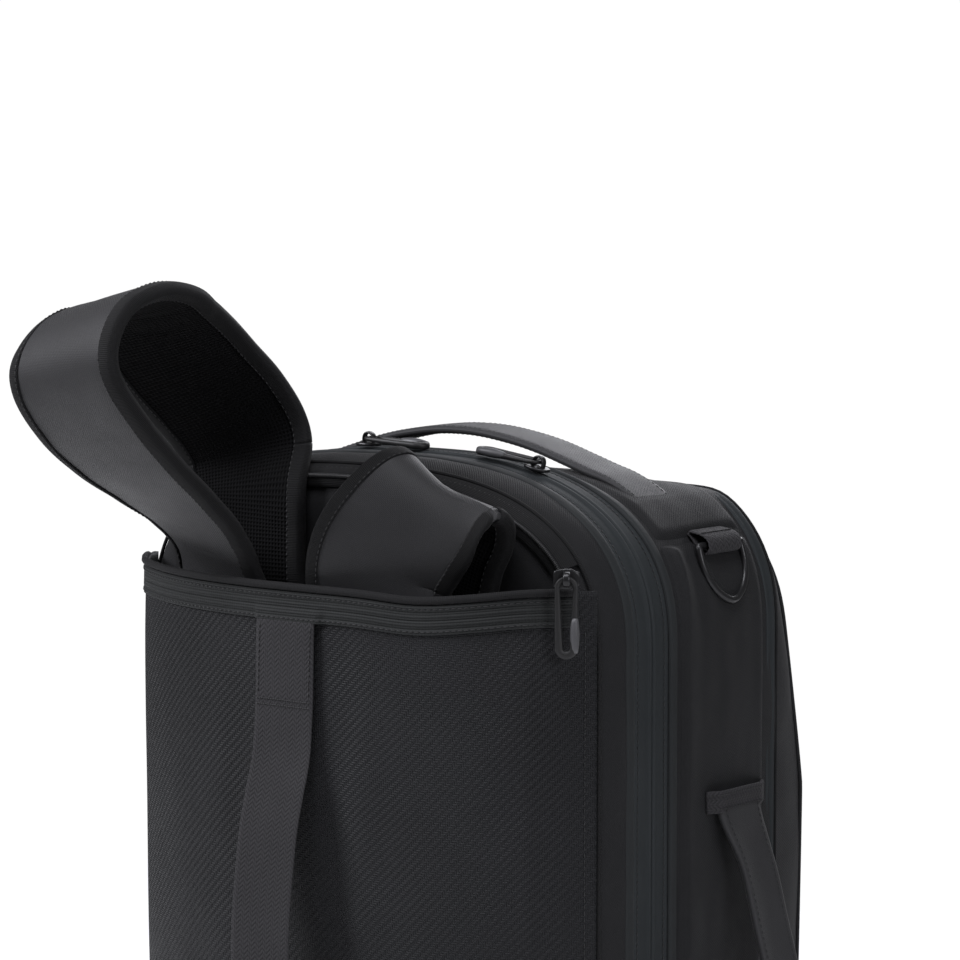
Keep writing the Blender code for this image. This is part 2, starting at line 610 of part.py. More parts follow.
# ---------------------------------------------------------------- D-rings for the sling strap
def build_d_ring(name, bar, tilt, lean):
    """A wire D hanging from a webbing tab. tilt lays the tab on the shell, lean rests the D on it."""
    wire, half, drop = 0.0021, 0.0195, 0.0310
    ring_body = body(name, bar)
    points = [(-half, 0.0), (-half, 0.010), (-0.0160, 0.020), (-0.0090, 0.0275), (0.0, drop),
              (0.0090, 0.0275), (0.0160, 0.020), (half, 0.010), (half, 0.0)]
    curve = bpy.data.curves.new(name, "CURVE")
    curve.dimensions = "3D"
    curve.bevel_depth = wire
    curve.bevel_resolution = 2
    spline = curve.splines.new("POLY")
    spline.points.add(len(points) - 1)
    spline.use_cyclic_u = True
    for point, (along_bar, down) in zip(spline.points, points):
        point.co = (-down * math.sin(lean), along_bar, -down * math.cos(lean), 1)
    curve.materials.append(METAL)
    obj = bpy.data.objects.new(name, curve)
    bag.objects.link(obj)
    obj.location = bar
    place_under(obj, ring_body)

    # webbing folded round the bar, both ends running up to the seam above
    out = Vector((-math.cos(tilt), 0, math.sin(tilt)))
    up = Vector((math.sin(tilt), 0, math.cos(tilt)))
    fold = (
        (-0.0026, 0.0150), (-0.0036, 0.0070), (-0.0040, 0.0010), (-0.0029, -0.0029), (0.0, -0.0041),
        (0.0029, -0.0029), (0.0041, 0.0), (0.0032, 0.0045), (0.0006, 0.0095), (-0.0008, 0.0150),
    )
    centres = [bar + out * u + up * w for u, w in fold]
    ribbon(name.replace("ring", "ring_tab"), centres, [Vector((0, 0.0155, 0))] * len(fold), 0.0014, WEBBING, None)


# ---------------------------------------------------------------- sliders and pulls
def build_slider(name, at, run, out, parent, pull_along):
    """A zip slider at a point, with the zip's direction, the outward normal and the way its pull points."""
    run, out = run.normalized(), out.normalized()
    side = out.cross(run)
    slider = body(name, at, parent)
    rows = []
    for s, w in ((-0.0065, 0.0036), (-0.002, 0.0056), (0.0065, 0.0048)):
        rows.append([
            at + run * s + side * (w * sign) + out * high
            for sign, high in ((-1, 0.0008), (1, 0.0008), (1, 0.0030), (-1, 0.0030))
        ])
    pivot = at + out * 0.0052
    plate = add_object(name, skin(rows, caps=True), METAL, slider)
    # the bail arches over the pull's near end, along the pull's direction
    arch = ((-0.0030, -0.0037), (-0.0030, 0.0), (-0.0021, 0.0021), (0, 0.0030), (0.0021, 0.0021), (0.0030, 0.0),
            (0.0030, -0.0037))
    along_pull = pull_along.normalized()
    centres = [pivot + along_pull * s + out * high for s, high in arch]
    bail = ribbon(name + "_bail", centres, [out.cross(along_pull) * 0.0014] * len(arch), 0.0012, METAL, None)
    bail.hide_render = True
    bail.display_type = "WIRE"
    bag.objects.unlink(bail)
    helpers.objects.link(bail)
    join = plate.modifiers.new("Bail", "BOOLEAN")
    join.object = bail
    join.operation = "UNION"
    build_pull(name.replace("slider", "pull"), pivot, pull_along, out, slider)


def build_pull(name, pivot, direction, out, parent):
    """A flat pull with rounded ends and one long slot, hinged at its near end."""
    pull = body(name, pivot, parent)
    direction = direction.normalized()
    across = out.cross(direction).normalized()
    half, length = PULL_WIDTH / 2, PULL_LENGTH
    rows = []
    for radius in (half, half - PULL_RIM):
        row = []
        for k in range(14):
            turn = math.tau * (k + 0.5) / 14
            end = 0.0 if math.cos(turn) < 0 else length - 2 * half
            reach = end + half - PULL_LEAD + radius * math.cos(turn)
            row.append(pivot + direction * reach + across * (radius * math.sin(turn)))
        rows.append(row)
    solidify(add_object(name, skin(rows), METAL, pull, out), 0.0020, 0.0)


def build_sliders():
    up, back, right = Vector((0, 0, 1)), Vector((0, 1, 0)), Vector((1, 0, 0))
    slope = Vector((1, 0, 0.23))
    out = Vector((-0.23, 0, 1))
    build_slider("rear_slider_a", REAR_SLIDER_A, slope, out, None, Vector((1, 0, PULL_LIE_A)))
    build_slider("rear_slider_b", REAR_SLIDER_B, right, up, None, Vector((-1, 0, -PULL_LIE_B)))
    build_slider("stash_slider", STASH_SLIDER, Vector((0.80, 0.60, 0)), Vector((-0.60, 0.80, 0)), stash, -up)
    for name, x in (("front_slider_a", -1), ("front_slider_b", 1)):
        at = Vector((x * (WIDTH / 2 - LID_INSET), front_y(FRONT_SLIDER_Z) - 0.0020, FRONT_SLIDER_Z))
        build_slider(name, at, up, -back, lid, -up)
    at = Vector((0.060, front_y(POCKET_ZIP_Z) - 0.0105, POCKET_ZIP_Z))
    build_slider("pocket_slider", at, right, -back, lid, -up)


build_main_compartment()
build_laptop_compartment()
build_zip_tapes()
build_front_lid()
build_stash_pocket()
build_shoulder_strap("left", LEFT_ROUTE, LEFT_ACROSS)
build_shoulder_strap("right", RIGHT_ROUTE, RIGHT_ACROSS)
build_lower_loops()
build_top_handle()
build_side_handle()
build_d_ring("d_ring_upper", UPPER_RING, math.radians(35), math.radians(17))
build_d_ring("d_ring_lower", LOWER_RING, 0.0, 0.0)
build_sliders()
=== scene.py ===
import math

import bmesh
import bpy
import numpy as np
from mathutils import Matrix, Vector, noise


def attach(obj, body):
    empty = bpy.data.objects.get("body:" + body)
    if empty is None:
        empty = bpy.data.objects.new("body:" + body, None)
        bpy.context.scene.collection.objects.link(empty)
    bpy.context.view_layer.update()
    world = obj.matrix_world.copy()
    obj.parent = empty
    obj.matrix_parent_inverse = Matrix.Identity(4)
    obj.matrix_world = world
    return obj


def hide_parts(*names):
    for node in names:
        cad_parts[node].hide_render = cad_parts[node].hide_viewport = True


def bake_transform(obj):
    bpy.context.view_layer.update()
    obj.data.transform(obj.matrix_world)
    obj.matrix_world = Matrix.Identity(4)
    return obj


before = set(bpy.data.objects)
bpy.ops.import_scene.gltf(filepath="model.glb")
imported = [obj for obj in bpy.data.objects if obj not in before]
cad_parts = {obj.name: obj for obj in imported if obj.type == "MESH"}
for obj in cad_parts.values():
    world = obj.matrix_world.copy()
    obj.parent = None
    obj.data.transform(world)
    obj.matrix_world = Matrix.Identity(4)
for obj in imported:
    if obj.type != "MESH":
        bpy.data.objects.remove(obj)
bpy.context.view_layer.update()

# ---------------------------------------------------------------- dimensions shared with the CAD, in metres
WIDTH, HEIGHT, CROWN, CROWN_POWER, BASE_RADIUS = 0.320, 0.520, 0.100, 2.6, 0.045
REAR_ZIP_Y, BACK_Y, SEAM_Y, FRONT_Y, BELLY_Z = 0.050, 0.100, -0.062, -0.117, 0.330
TAPE_WIDTH, RECESS, LID_INSET, TOP_DIP = 0.0155, 0.002, 0.045, 0.012
FRONT_TOP, ROOF_SOFTNESS = 0.4980, 0.0030
ROOF_Y = (SEAM_Y, -0.040, -0.020, 0.0, 0.018)
ROOF_Z = (FRONT_TOP, 0.5005, 0.5060, 0.5125, 0.5300)
MOUTH_Z, PANEL_HALF, PANEL_BASE_Z, PANEL_BULGE, PANEL_SKIN = 0.4575, 0.155, 0.022, 0.060, 0.0025
STRAP_HALF, STRAP_THICK = 0.0415, 0.011
PULL_WIDTH, PULL_LENGTH, PULL_RIM, PULL_LEAD = 0.0120, 0.043, 0.0024, 0.0018
REAR_EDGE = ((0.0660, 0.000), (0.0780, 0.0010), (0.0895, 0.0055), (0.0965, 0.0140), (BACK_Y, 0.0260))
# sizes that only the cloth has
SHELL_CLOTH = 0.0055     # lining and cloth of the shells together
LID_CLOTH = 0.0045
TAPE_FACE = RECESS - 0.0014   # how deep a rear tape lies below the shells' outline
POCKET_ZIP_Z = 0.352     # height of the zip across the lid
MIDDLE_Z = 0.262         # height that the back wall and the lid draw in towards


# ---------------------------------------------------------------- materials
MOTTLE = 0.60            # how far the slow unevenness lightens a cloth
FOLD_HEIGHT = 0.00176    # of the slow folds in a cloth's relief


class Value:
    """A number inside a material, which adds and multiplies through Math nodes."""

    def __init__(self, tree, socket):
        self.tree, self.socket = tree, socket

    def then(self, operation, other=None):
        node = self.tree.nodes.new("ShaderNodeMath")
        node.operation = operation
        join(self, node.inputs[0])
        join(other, node.inputs[1])
        return Value(self.tree, node.outputs[0])

    def __add__(self, other):
        return self.then("ADD", other)

    def __sub__(self, other):
        return self.then("SUBTRACT", other)

    def __rsub__(self, other):
        return self * -1.0 + other

    def __mul__(self, other):
        return self.then("MULTIPLY", other)

    def __truediv__(self, other):
        return self.then("DIVIDE", other)


def join(source, target):
    """Wires a value to an input, or sets the input to a plain number or colour."""
    if isinstance(source, Value):
        source.tree.links.new(source.socket, target)
    elif source is not None:
        target.default_value = source


def mixed(tree, share, first, second):
    node = tree.nodes.new("ShaderNodeMix")
    node.data_type = "RGBA"
    for source, target in ((share, "Factor"), (first, "A"), (second, "B")):
        join(source, node.inputs[target])
    return Value(tree, node.outputs["Result"])


def cloud(tree, scale, detail=3.0):
    place = tree.nodes.new("ShaderNodeTexCoord")
    node = tree.nodes.new("ShaderNodeTexNoise")
    node.inputs["Scale"].default_value = scale
    node.inputs["Detail"].default_value = detail
    tree.links.new(place.outputs["Object"], node.inputs["Vector"])
    return Value(tree, node.outputs["Fac"])


def yarns(tree, kind, pitch):
    """Height from 0 to 1 of a weave whose yarns are pitch apart, read from UVs in metres."""
    place = tree.nodes.new("ShaderNodeTexCoord")
    split = tree.nodes.new("ShaderNodeSeparateXYZ")
    tree.links.new(place.outputs["UV"], split.inputs[0])
    across, along = (Value(tree, split.outputs[k]) / pitch for k in (0, 1))
    warp, weft = ((axis * math.pi).then("SINE").then("ABSOLUTE") for axis in (across, along))
    if kind == "grosgrain":
        return weft * 0.8 + warp * 0.2
    if kind == "herringbone":
        slant = ((along + across.then("PINGPONG", 2.0)) * (math.pi / 2)).then("SINE").then("ABSOLUTE")
        return slant * 0.7 + warp * 0.3
    if kind == "mesh":
        return 1.0 - (warp * weft).then("POWER", 1.5)
    steps = {"plain": 2.0, "twill": 4.0}[kind]
    over = ((across.then("FLOOR") + along.then("FLOOR")) / steps).then("FRACT").then("LESS_THAN", 0.5)
    return warp * over + weft * (1.0 - over)


def opaque(colour, times=1.0):
    return (*[c * times for c in colour], 1.0)


def shader(name, rough, metallic=0.0, sheen=0.0, specular=0.4):
    made = bpy.data.materials.new(name)
    made.use_nodes = True
    tree = made.node_tree
    base = tree.nodes["Principled BSDF"]
    for socket, value in (("Roughness", rough), ("Metallic", metallic), ("Specular IOR Level", specular),
                          ("Sheen Weight", sheen), ("Sheen Roughness", 0.45)):
        base.inputs[socket].default_value = value
    return made, tree, base


def worn(tree, colour, light, amount):
    """Mixes in the lighter colour where the surface is a ridge or an edge."""
    geometry = tree.nodes.new("ShaderNodeNewGeometry")
    edges = tree.nodes.new("ShaderNodeMapRange")
    edges.inputs["From Min"].default_value = 0.51
    edges.inputs["From Max"].default_value = 0.60
    tree.links.new(geometry.outputs["Pointiness"], edges.inputs["Value"])
    return mixed(tree, Value(tree, edges.outputs[0]) * amount, colour, light)


def bumped(tree, base, height, distance, strength):
    bump = tree.nodes.new("ShaderNodeBump")
    bump.inputs["Strength"].default_value = strength
    bump.inputs["Distance"].default_value = distance
    join(height, bump.inputs["Height"])
    tree.links.new(bump.outputs[0], base.inputs["Normal"])


def fabric(name, dark, light, rough, kind, pitch, strength=0.5, sheen=0.04, specular=0.13):
    """Woven cloth: dark between the yarns and light on them, with slow unevenness of colour and gloss."""
    made, tree, base = shader(name, rough, sheen=sheen, specular=specular)
    height = yarns(tree, kind, pitch)
    body = mixed(tree, height, opaque(dark), opaque(light))
    body = mixed(tree, (cloud(tree, 14.0) - 0.35) * MOTTLE, body, opaque(light, 1.9))
    join(worn(tree, body, opaque(light, 2.2), 0.22), base.inputs["Base Color"])
    join(cloud(tree, 60.0) * 0.14 + (rough - 0.07), base.inputs["Roughness"])
    relief = pitch * 0.3
    folds = cloud(tree, 26.0, 4.0) * (FOLD_HEIGHT / relief)
    bumped(tree, base, height + cloud(tree, 900.0, 2.0) * 0.5 + folds, relief, strength)
    return made


def solid(name, dark, light, rough, metallic=0.0, grain=1800.0, depth=0.00004, wear=0.4):
    """Moulded plastic, metal, foam or thread: a fine grain, slow mottling and lighter edges."""
    made, tree, base = shader(name, rough, metallic)
    body = mixed(tree, cloud(tree, 45.0), opaque(dark), opaque(light))
    join(worn(tree, body, (*[min(1.0, c * 3.0) for c in light], 1.0), wear), base.inputs["Base Color"])
    join(cloud(tree, 160.0) * 0.16 + (rough - 0.08), base.inputs["Roughness"])
    bumped(tree, base, cloud(tree, grain, 2.0), depth, 0.5)
    return made


SHELL = fabric("shell_cloth", (0.0045, 0.0045, 0.0050), (0.0105, 0.0107, 0.0116), 0.62, "plain", 0.0008, 0.5, 0.05,
               specular=0.15)
PANEL = fabric("panel_twill", (0.0030, 0.0032, 0.0036), (0.0105, 0.0109, 0.0122), 0.56, "twill", 0.0012, 1.0, 0.02,
               specular=0.17)
STRAP = fabric("strap_cloth", (0.0120, 0.0120, 0.0126), (0.0225, 0.0225, 0.0240), 0.50, "plain", 0.0007, 0.45, 0.06,
               specular=0.22)
WEBBING = fabric("ribbed_webbing", (0.0070, 0.0070, 0.0075), (0.0270, 0.0262, 0.0282), 0.72, "herringbone", 0.0013,
                 0.9, 0.04)
BAND = fabric("mouth_band", (0.0050, 0.0054, 0.0054), (0.0215, 0.0228, 0.0228), 0.70, "grosgrain", 0.0017, 0.9, 0.03)
BINDING = fabric("grosgrain_binding", (0.0030, 0.0030, 0.0030), (0.0085, 0.0085, 0.0090), 0.72, "grosgrain", 0.0009,
                 0.8, 0.03)
COATED = fabric("coated_tape", (0.0115, 0.0132, 0.0140), (0.0230, 0.0262, 0.0280), 0.62, "grosgrain", 0.0008, 0.35,
                0.01, specular=0.11)
FACING = fabric("zip_facing", (0.0075, 0.0082, 0.0086), (0.0185, 0.0205, 0.0215), 0.60, "grosgrain", 0.0008, 0.35,
                0.03)
TRIM = fabric("woven_trim", (0.0045, 0.0045, 0.0046), (0.0110, 0.0110, 0.0116), 0.74, "grosgrain", 0.0010, 0.7, 0.03)
LINING = fabric("lining_cloth", (0.0210, 0.0235, 0.0230), (0.0380, 0.0430, 0.0418), 0.58, "plain", 0.0006, 0.3, 0.03)
MESH = fabric("spacer_mesh", (0.0008, 0.0008, 0.0008), (0.0042, 0.0042, 0.0046), 0.88, "mesh", 0.0022, 1.0, 0.02,
              specular=0.06)
THREAD = solid("thread", (0.0100, 0.0100, 0.0105), (0.0210, 0.0210, 0.0220), 0.55, wear=0.1)
FOAM = solid("foam", (0.060, 0.060, 0.062), (0.085, 0.085, 0.088), 0.92, grain=700.0, depth=0.0004)
METAL = solid("gunmetal", (0.0075, 0.0075, 0.0080), (0.0150, 0.0150, 0.0160), 0.32, 0.35, wear=0.35)
CORD = solid("pull_cord", (0.0040, 0.0040, 0.0042), (0.0085, 0.0085, 0.0090), 0.50, grain=900.0, depth=0.0002,
             wear=0.1)
MOULDED = solid("moulded", (0.0060, 0.0060, 0.0065), (0.0110, 0.0110, 0.0115), 0.42, grain=1200.0, depth=0.0001)
# painted highlight: this lighter colour, on a swelling on one leg of each pull, stands in for the glint on the pull's
# slanted face
PAINTED_PULL_GLINT = solid("pull_sleeve", (0.024, 0.024, 0.026), (0.048, 0.048, 0.051), 0.45, grain=1200.0, depth=0.0001)
BOARD = solid("board", (0.040, 0.040, 0.040), (0.060, 0.060, 0.060), 0.60)
SLOTS = {SHELL: "shell_fabric", PANEL: "panel_fabric", STRAP: "strap_fabric", WEBBING: "webbing", BAND: "webbing",
         BINDING: "trim_webbing", TRIM: "trim_webbing", COATED: "coated_zip_tape", FACING: "coated_zip_tape",
         METAL: "black_metal", CORD: "black_metal", MOULDED: "moulded_plastic", PAINTED_PULL_GLINT: "moulded_plastic"}


# ---------------------------------------------------------------- the outline, measured along its own edge
def half_profile(inset):
    """X and Z from the middle of the crown, down the side and to the middle of the base."""
    a, top, crown = WIDTH / 2 - inset, HEIGHT - inset, CROWN - inset
    radius, shoulder = max(BASE_RADIUS - inset, 0.012), top - crown
    turn = np.linspace(0, math.pi / 2, 240)
    x = [a * np.sin(turn) ** (2 / CROWN_POWER), np.full(60, a)]
    z = [shoulder + crown * np.clip(np.cos(turn), 0, 1) ** (2 / CROWN_POWER),
         np.linspace(shoulder, inset + radius, 61)[1:]]
    turn = np.linspace(0, math.pi / 2, 25)[1:]
    x += [a - radius + radius * np.cos(turn), np.linspace(a - radius, 0, 41)[1:]]
    z += [inset + radius - radius * np.sin(turn), np.full(40, inset)]
    return np.concatenate(x), np.concatenate(z)


PROFILES = {}
X0, Z0 = half_profile(0.0)
S0 = np.concatenate([[0], np.cumsum(np.hypot(np.diff(X0), np.diff(Z0)))])
LOOP = 2 * S0[-1]


def rim(s, inset=0.0):
    """X and Z of the outline at distance s from the middle of the crown, towards the -X side."""
    key = round(inset, 6)
    if key not in PROFILES:
        PROFILES[key] = half_profile(inset)
    across, up = PROFILES[key]
    h = np.mod(s, LOOP)
    far = h > LOOP / 2
    q = np.where(far, LOOP - h, h)
    x = np.interp(q, S0, across)
    return np.where(far, x, -x), np.interp(q, S0, up)


def s_at(z):
    """Distance along the outline, down the -X side, where it is z high."""
    return float(np.interp(-z, -Z0[:320], S0[:320]))


def front_y(z):
    z = np.asarray(z, float)
    above = FRONT_Y + 0.30 * np.clip(z - BELLY_Z, 0, None) ** 1.1
    return np.where(z > BELLY_Z, above, FRONT_Y + 0.045 * np.clip(BELLY_Z - z, 0, None) ** 1.2)


def dip_at(y):
    return TOP_DIP * np.interp(y, (-0.040, -0.020, 0.0, 0.018, 0.034), (0, 0.7, 1.0, 0.75, 0))


def under_roof(z, roof):
    """Height rounded over softly, so that it stays below the roof."""
    return z - ROOF_SOFTNESS * np.log1p(np.exp((z - roof) / ROOF_SOFTNESS))


def hoop(s, y, inset=0.0, dip=0.0):
    x, z = rim(s, inset)
    sag = np.where(z > HEIGHT - 0.07, dip * np.clip(1 - (x / 0.125) ** 2, 0, None), 0)
    return np.stack([x, np.full_like(x, y), under_roof(z - sag, np.interp(y, ROOF_Y, ROOF_Z))], -1)


def front_rim(s, inset):
    x, z = rim(s, inset)
    return x, under_roof(z, FRONT_TOP - inset)


def front_hoop(s, share, inset, proud=0.0):
    x, z = front_rim(s, inset)
    return np.stack([x, SEAM_Y + (front_y(z) - SEAM_Y) * share - proud, z], -1)


def smooth(keys, steps):
    """Catmull-Rom through the keys, which are points or whole rows of points."""
    keys = np.asarray(keys, float)
    ends = np.concatenate([[keys[0] * 2 - keys[1]], keys, [keys[-1] * 2 - keys[-2]]])
    made = []
    for a, b, c, d in zip(ends, ends[1:], ends[2:], ends[3:]):
        for k in range(steps):
            t = k / steps
            made.append((b * 2 + (c - a) * t + (a * 2 - b * 5 + c * 4 - d) * t * t
                         + (b * 3 - a - c * 3 + d) * t ** 3) / 2)
    return np.array([*made, keys[-1]])


def unit(v):
    return v / np.maximum(np.linalg.norm(v, axis=-1, keepdims=True), 1e-12)


def grid_normals(p, closed=False, facing=None):
    across = np.roll(p, -1, 1) - np.roll(p, 1, 1) if closed else np.gradient(p, axis=1)
    n = unit(np.cross(across, np.gradient(p, axis=0)))
    towards = (p - p.reshape(-1, 3).mean(0)) if facing is None else np.asarray(facing, float)
    return n if (n * towards).sum() > 0 else -n


def rumple(p, layers):
    """Smooth seeded unevenness at each point: each layer is (height, (size in x, y, z), seed)."""
    flat = p.reshape(-1, 3)
    total = np.zeros(len(flat))
    for height, size, seed in layers:
        scaled = flat / np.array(size) + seed * 7.31
        total += height * np.array([noise.noise(Vector(q)) for q in scaled])
    return total.reshape(p.shape[:-1])


def ramp(x, low, high):
    t = np.clip((np.asarray(x, float) - low) / (high - low), 0, 1)
    return t * t * (3 - 2 * t)


# ---------------------------------------------------------------- pieces
def piece(name, verts, faces, uvs, finishes, body, indices=None, slot=None, replaces=()):
    """One visible piece. Its slot, its first finish's own unless another is given, is worked out but not stored."""
    mesh = bpy.data.meshes.new(name)
    verts = np.maximum(np.asarray(verts, float), (-9.0, -9.0, 0.0))
    mesh.from_pydata(verts.tolist(), [], faces)
    if uvs is not None:
        layer = mesh.uv_layers.new(name="UVMap")
        layer.data.foreach_set("uv", np.asarray(uvs, np.float32).ravel())
    for finish in finishes:
        mesh.materials.append(finish)
    if indices is not None:
        mesh.polygons.foreach_set("material_index", indices)
    mesh.shade_smooth()
    mesh.update()
    obj = bpy.data.objects.new(name, mesh)
    bpy.context.scene.collection.objects.link(obj)
    if body:
        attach(obj, body)
    slot = slot or SLOTS.get(finishes[0])
    if replaces:
        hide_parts(*replaces)
    return obj


def grid(name, p, finish, body, closed=False, ring=False, facing=None, u=None, caps=(False, False), thick=0.0,
         inner=None, flat_uv=False, by_column=None, slot=None, replaces=()):
    """A sheet through rows of points. closed joins each row's ends, ring joins the last row to the first."""
    rows, cols = p.shape[:2]
    r, k = np.meshgrid(np.arange(rows if ring else rows - 1), np.arange(cols if closed else cols - 1), indexing="ij")
    r, k = r.ravel(), k.ravel()
    r2, k2 = (r + 1) % rows, (k + 1) % cols
    faces = np.stack([r * cols + k, r * cols + k2, r2 * cols + k2, r2 * cols + k], -1)
    if u is None:
        step = np.linalg.norm(np.roll(p, -1, 1) - p, axis=-1).mean(0)
        u = np.concatenate([[0], np.cumsum(step)])
    step = np.linalg.norm(np.roll(p, -1, 0) - p, axis=-1).mean(1)
    v = np.concatenate([[0], np.cumsum(step)])
    uv = np.stack([np.stack([u[a], v[b]], -1) for a, b in ((k, r), (k + 1, r), (k + 1, r + 1), (k, r + 1))], 1)
    flat = p.reshape(-1, 3)
    corner = flat[faces]
    n = np.cross(corner[:, 2] - corner[:, 0], corner[:, 3] - corner[:, 1])
    towards = corner.mean(1) - flat.mean(0) if facing is None else np.asarray(facing, float)
    if flat_uv:
        facing_y = np.abs(unit(n)[:, 1]) > 0.75
        uv[facing_y] = corner[facing_y][:, :, (0, 2)]
    if (n * towards).sum() < 0:
        faces, uv = faces[:, ::-1], uv[:, ::-1]
    faces, uvs = faces.tolist(), uv.reshape(-1, 2).tolist()
    indices = None if by_column is None else [by_column(c) for c in k.tolist()]
    for end, wanted in enumerate(caps):
        if wanted:
            loop = [(rows - 1 if end else 0) * cols + c for c in range(cols)]
            middle = flat[loop].mean(0)
            inward = flat[(rows - 2 if end else 1) * cols:][:cols].mean(0)
            normal = np.cross(flat[loop[1]] - flat[loop[0]], middle - flat[loop[0]])
            if np.dot(normal, middle - inward) < 0:
                loop = loop[::-1]
            faces.append(loop)
            uvs += [(flat[c][0], flat[c][2]) for c in loop]
            if indices is not None:
                indices.append(0)
    finishes = [finish, inner] if inner else (finish if isinstance(finish, list) else [finish])
    obj = piece(name, flat, faces, uvs, finishes, body, indices, slot, replaces)
    if thick:
        modifier = obj.modifiers.new("Thickness", "SOLIDIFY")
        modifier.thickness = thick
        if inner:
            modifier.material_offset = 1
    return obj


def frames(path, across):
    """Unit widths and normals along a strap."""
    t = unit(np.gradient(path, axis=0))
    h = unit(across - (across * t).sum(-1, keepdims=True) * t)
    return h, np.cross(t, h)


def tube(name, path, radius, finish, body, closed=False, sides=10, **more):
    path = np.asarray(path, float)
    t = unit(np.roll(path, -1, 0) - np.roll(path, 1, 0)) if closed else unit(np.gradient(path, axis=0))
    side = np.zeros_like(path)
    lead = np.array((0.31, 0.27, 0.91)) if abs(t[0][2]) < 0.8 else np.array((0.91, 0.27, 0.31))
    for k, direction in enumerate(t):
        lead = unit(lead - np.dot(lead, direction) * direction)
        side[k] = lead
    turn = np.linspace(0, 2 * math.pi, sides, endpoint=False)
    radius = np.broadcast_to(np.asarray(radius, float), len(path))[:, None, None]
    p = path[:, None] + radius * (side[:, None] * np.cos(turn)[None, :, None]
                                  + np.cross(t, side)[:, None] * np.sin(turn)[None, :, None])
    return grid(name, p, finish, body, closed=True, ring=closed, caps=(not closed, not closed), **more)


def stitches(name, path, normal, body, pitch=0.0034, length=0.0024, radius=0.00033):
    """A run of separate stitches, each a small arched spindle lying in the cloth."""
    path, normal = np.asarray(path, float), np.broadcast_to(np.asarray(normal, float), np.shape(path))
    d = np.concatenate([[0], np.cumsum(np.linalg.norm(np.diff(path, axis=0), axis=1))])
    marks = np.arange(pitch / 2, d[-1], pitch)

    def at(where, what):
        return np.stack([np.interp(where, d, what[:, k]) for k in range(3)], -1)

    centre, out = at(marks, path), unit(at(marks, normal))
    run = unit(at(marks + length / 2, path) - at(marks - length / 2, path))
    side = np.cross(run, out)
    turn = np.linspace(0, 2 * math.pi, 6, endpoint=False)
    rings = []
    for share, size in ((-1, 0.35), (-0.55, 0.9), (0, 1), (0.55, 0.9), (1, 0.35)):
        middle = centre + run * (share * length / 2) + out * (radius * 0.9 * (1 - share * share) - radius * 0.2)
        rings.append(middle[:, None] + radius * size * (
            side[:, None] * np.cos(turn)[None, :, None] + out[:, None] * np.sin(turn)[None, :, None]))
    verts = np.stack(rings, 1).reshape(-1, 3)
    faces = []
    for m in range(len(marks)):
        for ring in range(4):
            first = m * 30 + ring * 6
            faces += [(first + k, first + (k + 1) % 6, first + 6 + (k + 1) % 6, first + 6 + k) for k in range(6)]
        faces += [tuple(m * 30 + k for k in reversed(range(6))), tuple(m * 30 + 24 + k for k in range(6))]
    return piece(name, verts, faces, None, [THREAD], body)


def section(half, thick, count=11, crown=0.0, power=7.0):
    """Widths and heights round a flat strap: over its outer face, then back under it."""
    u = np.sin(np.linspace(-math.pi / 2, math.pi / 2, count))
    high = (1 - np.abs(u) ** power) ** (1 / 2.4) * thick / 2 * (1 + crown * (1 - u * u))
    return np.concatenate([u, u[::-1][1:-1]]) * half, np.concatenate([high, -high[::-1][1:-1]])


def strap_grid(path, across, wide, high):
    """Points of a strap. High is measured against the frame's normal, which lies inside the strap's loop."""
    h, n = frames(path, across)
    return path[:, None] + h[:, None] * wide[None, :, None] - n[:, None] * high[None, :, None]


def strip(name, path, across, profile, finish, body, **more):
    """A flat piece of webbing or metal along a path, with closed ends. across is one direction for all of it."""
    path = np.asarray(path, float)
    p = strap_grid(path, np.tile(np.asarray(across, float), (len(path), 1)), *profile)
    return grid(name, p, finish, body, closed=True, caps=(True, True), **more)


PUFF_FRAMES, PUFF_PRESSURE, PUFF_MOST = 20, 6.0, 0.0030


def puff(obj, pinned):
    """Swells a padded piece with a cloth simulation and keeps the result in its mesh."""
    group = obj.vertex_groups.new(name="sewn")
    group.add([int(k) for k in pinned], 1.0, "REPLACE")
    cloth = obj.modifiers.new("Cloth", "CLOTH")
    settings = cloth.settings
    settings.quality = 6
    settings.mass = 0.15
    settings.tension_stiffness = settings.compression_stiffness = 10
    settings.shear_stiffness = 4
    settings.bending_stiffness = 0.3
    settings.use_pressure = True
    settings.uniform_pressure_force = PUFF_PRESSURE
    settings.effector_weights.gravity = 0.0
    settings.vertex_group_mass = "sewn"
    cloth.collision_settings.use_collision = False
    cloth.collision_settings.use_self_collision = False
    rest = np.empty(len(obj.data.vertices) * 3)
    obj.data.vertices.foreach_get("co", rest)
    scene = bpy.context.scene
    for number in range(1, PUFF_FRAMES + 1):
        scene.frame_set(number)
    moved = np.empty_like(rest)
    obj.evaluated_get(bpy.context.evaluated_depsgraph_get()).data.vertices.foreach_get("co", moved)
    step = (moved - rest).reshape(-1, 3)
    length = np.linalg.norm(step, axis=1, keepdims=True)
    step *= np.minimum(1.0, PUFF_MOST / np.maximum(length, 1e-9))
    obj.modifiers.remove(cloth)
    obj.vertex_groups.remove(group)
    obj.data.vertices.foreach_set("co", (rest.reshape(-1, 3) + step).ravel())
    obj.data.update()
    scene.frame_set(1)


# ---------------------------------------------------------------- shells
ROUND = np.linspace(0, LOOP, 261)[:-1]
ROUND_U = np.linspace(0, LOOP, 261)


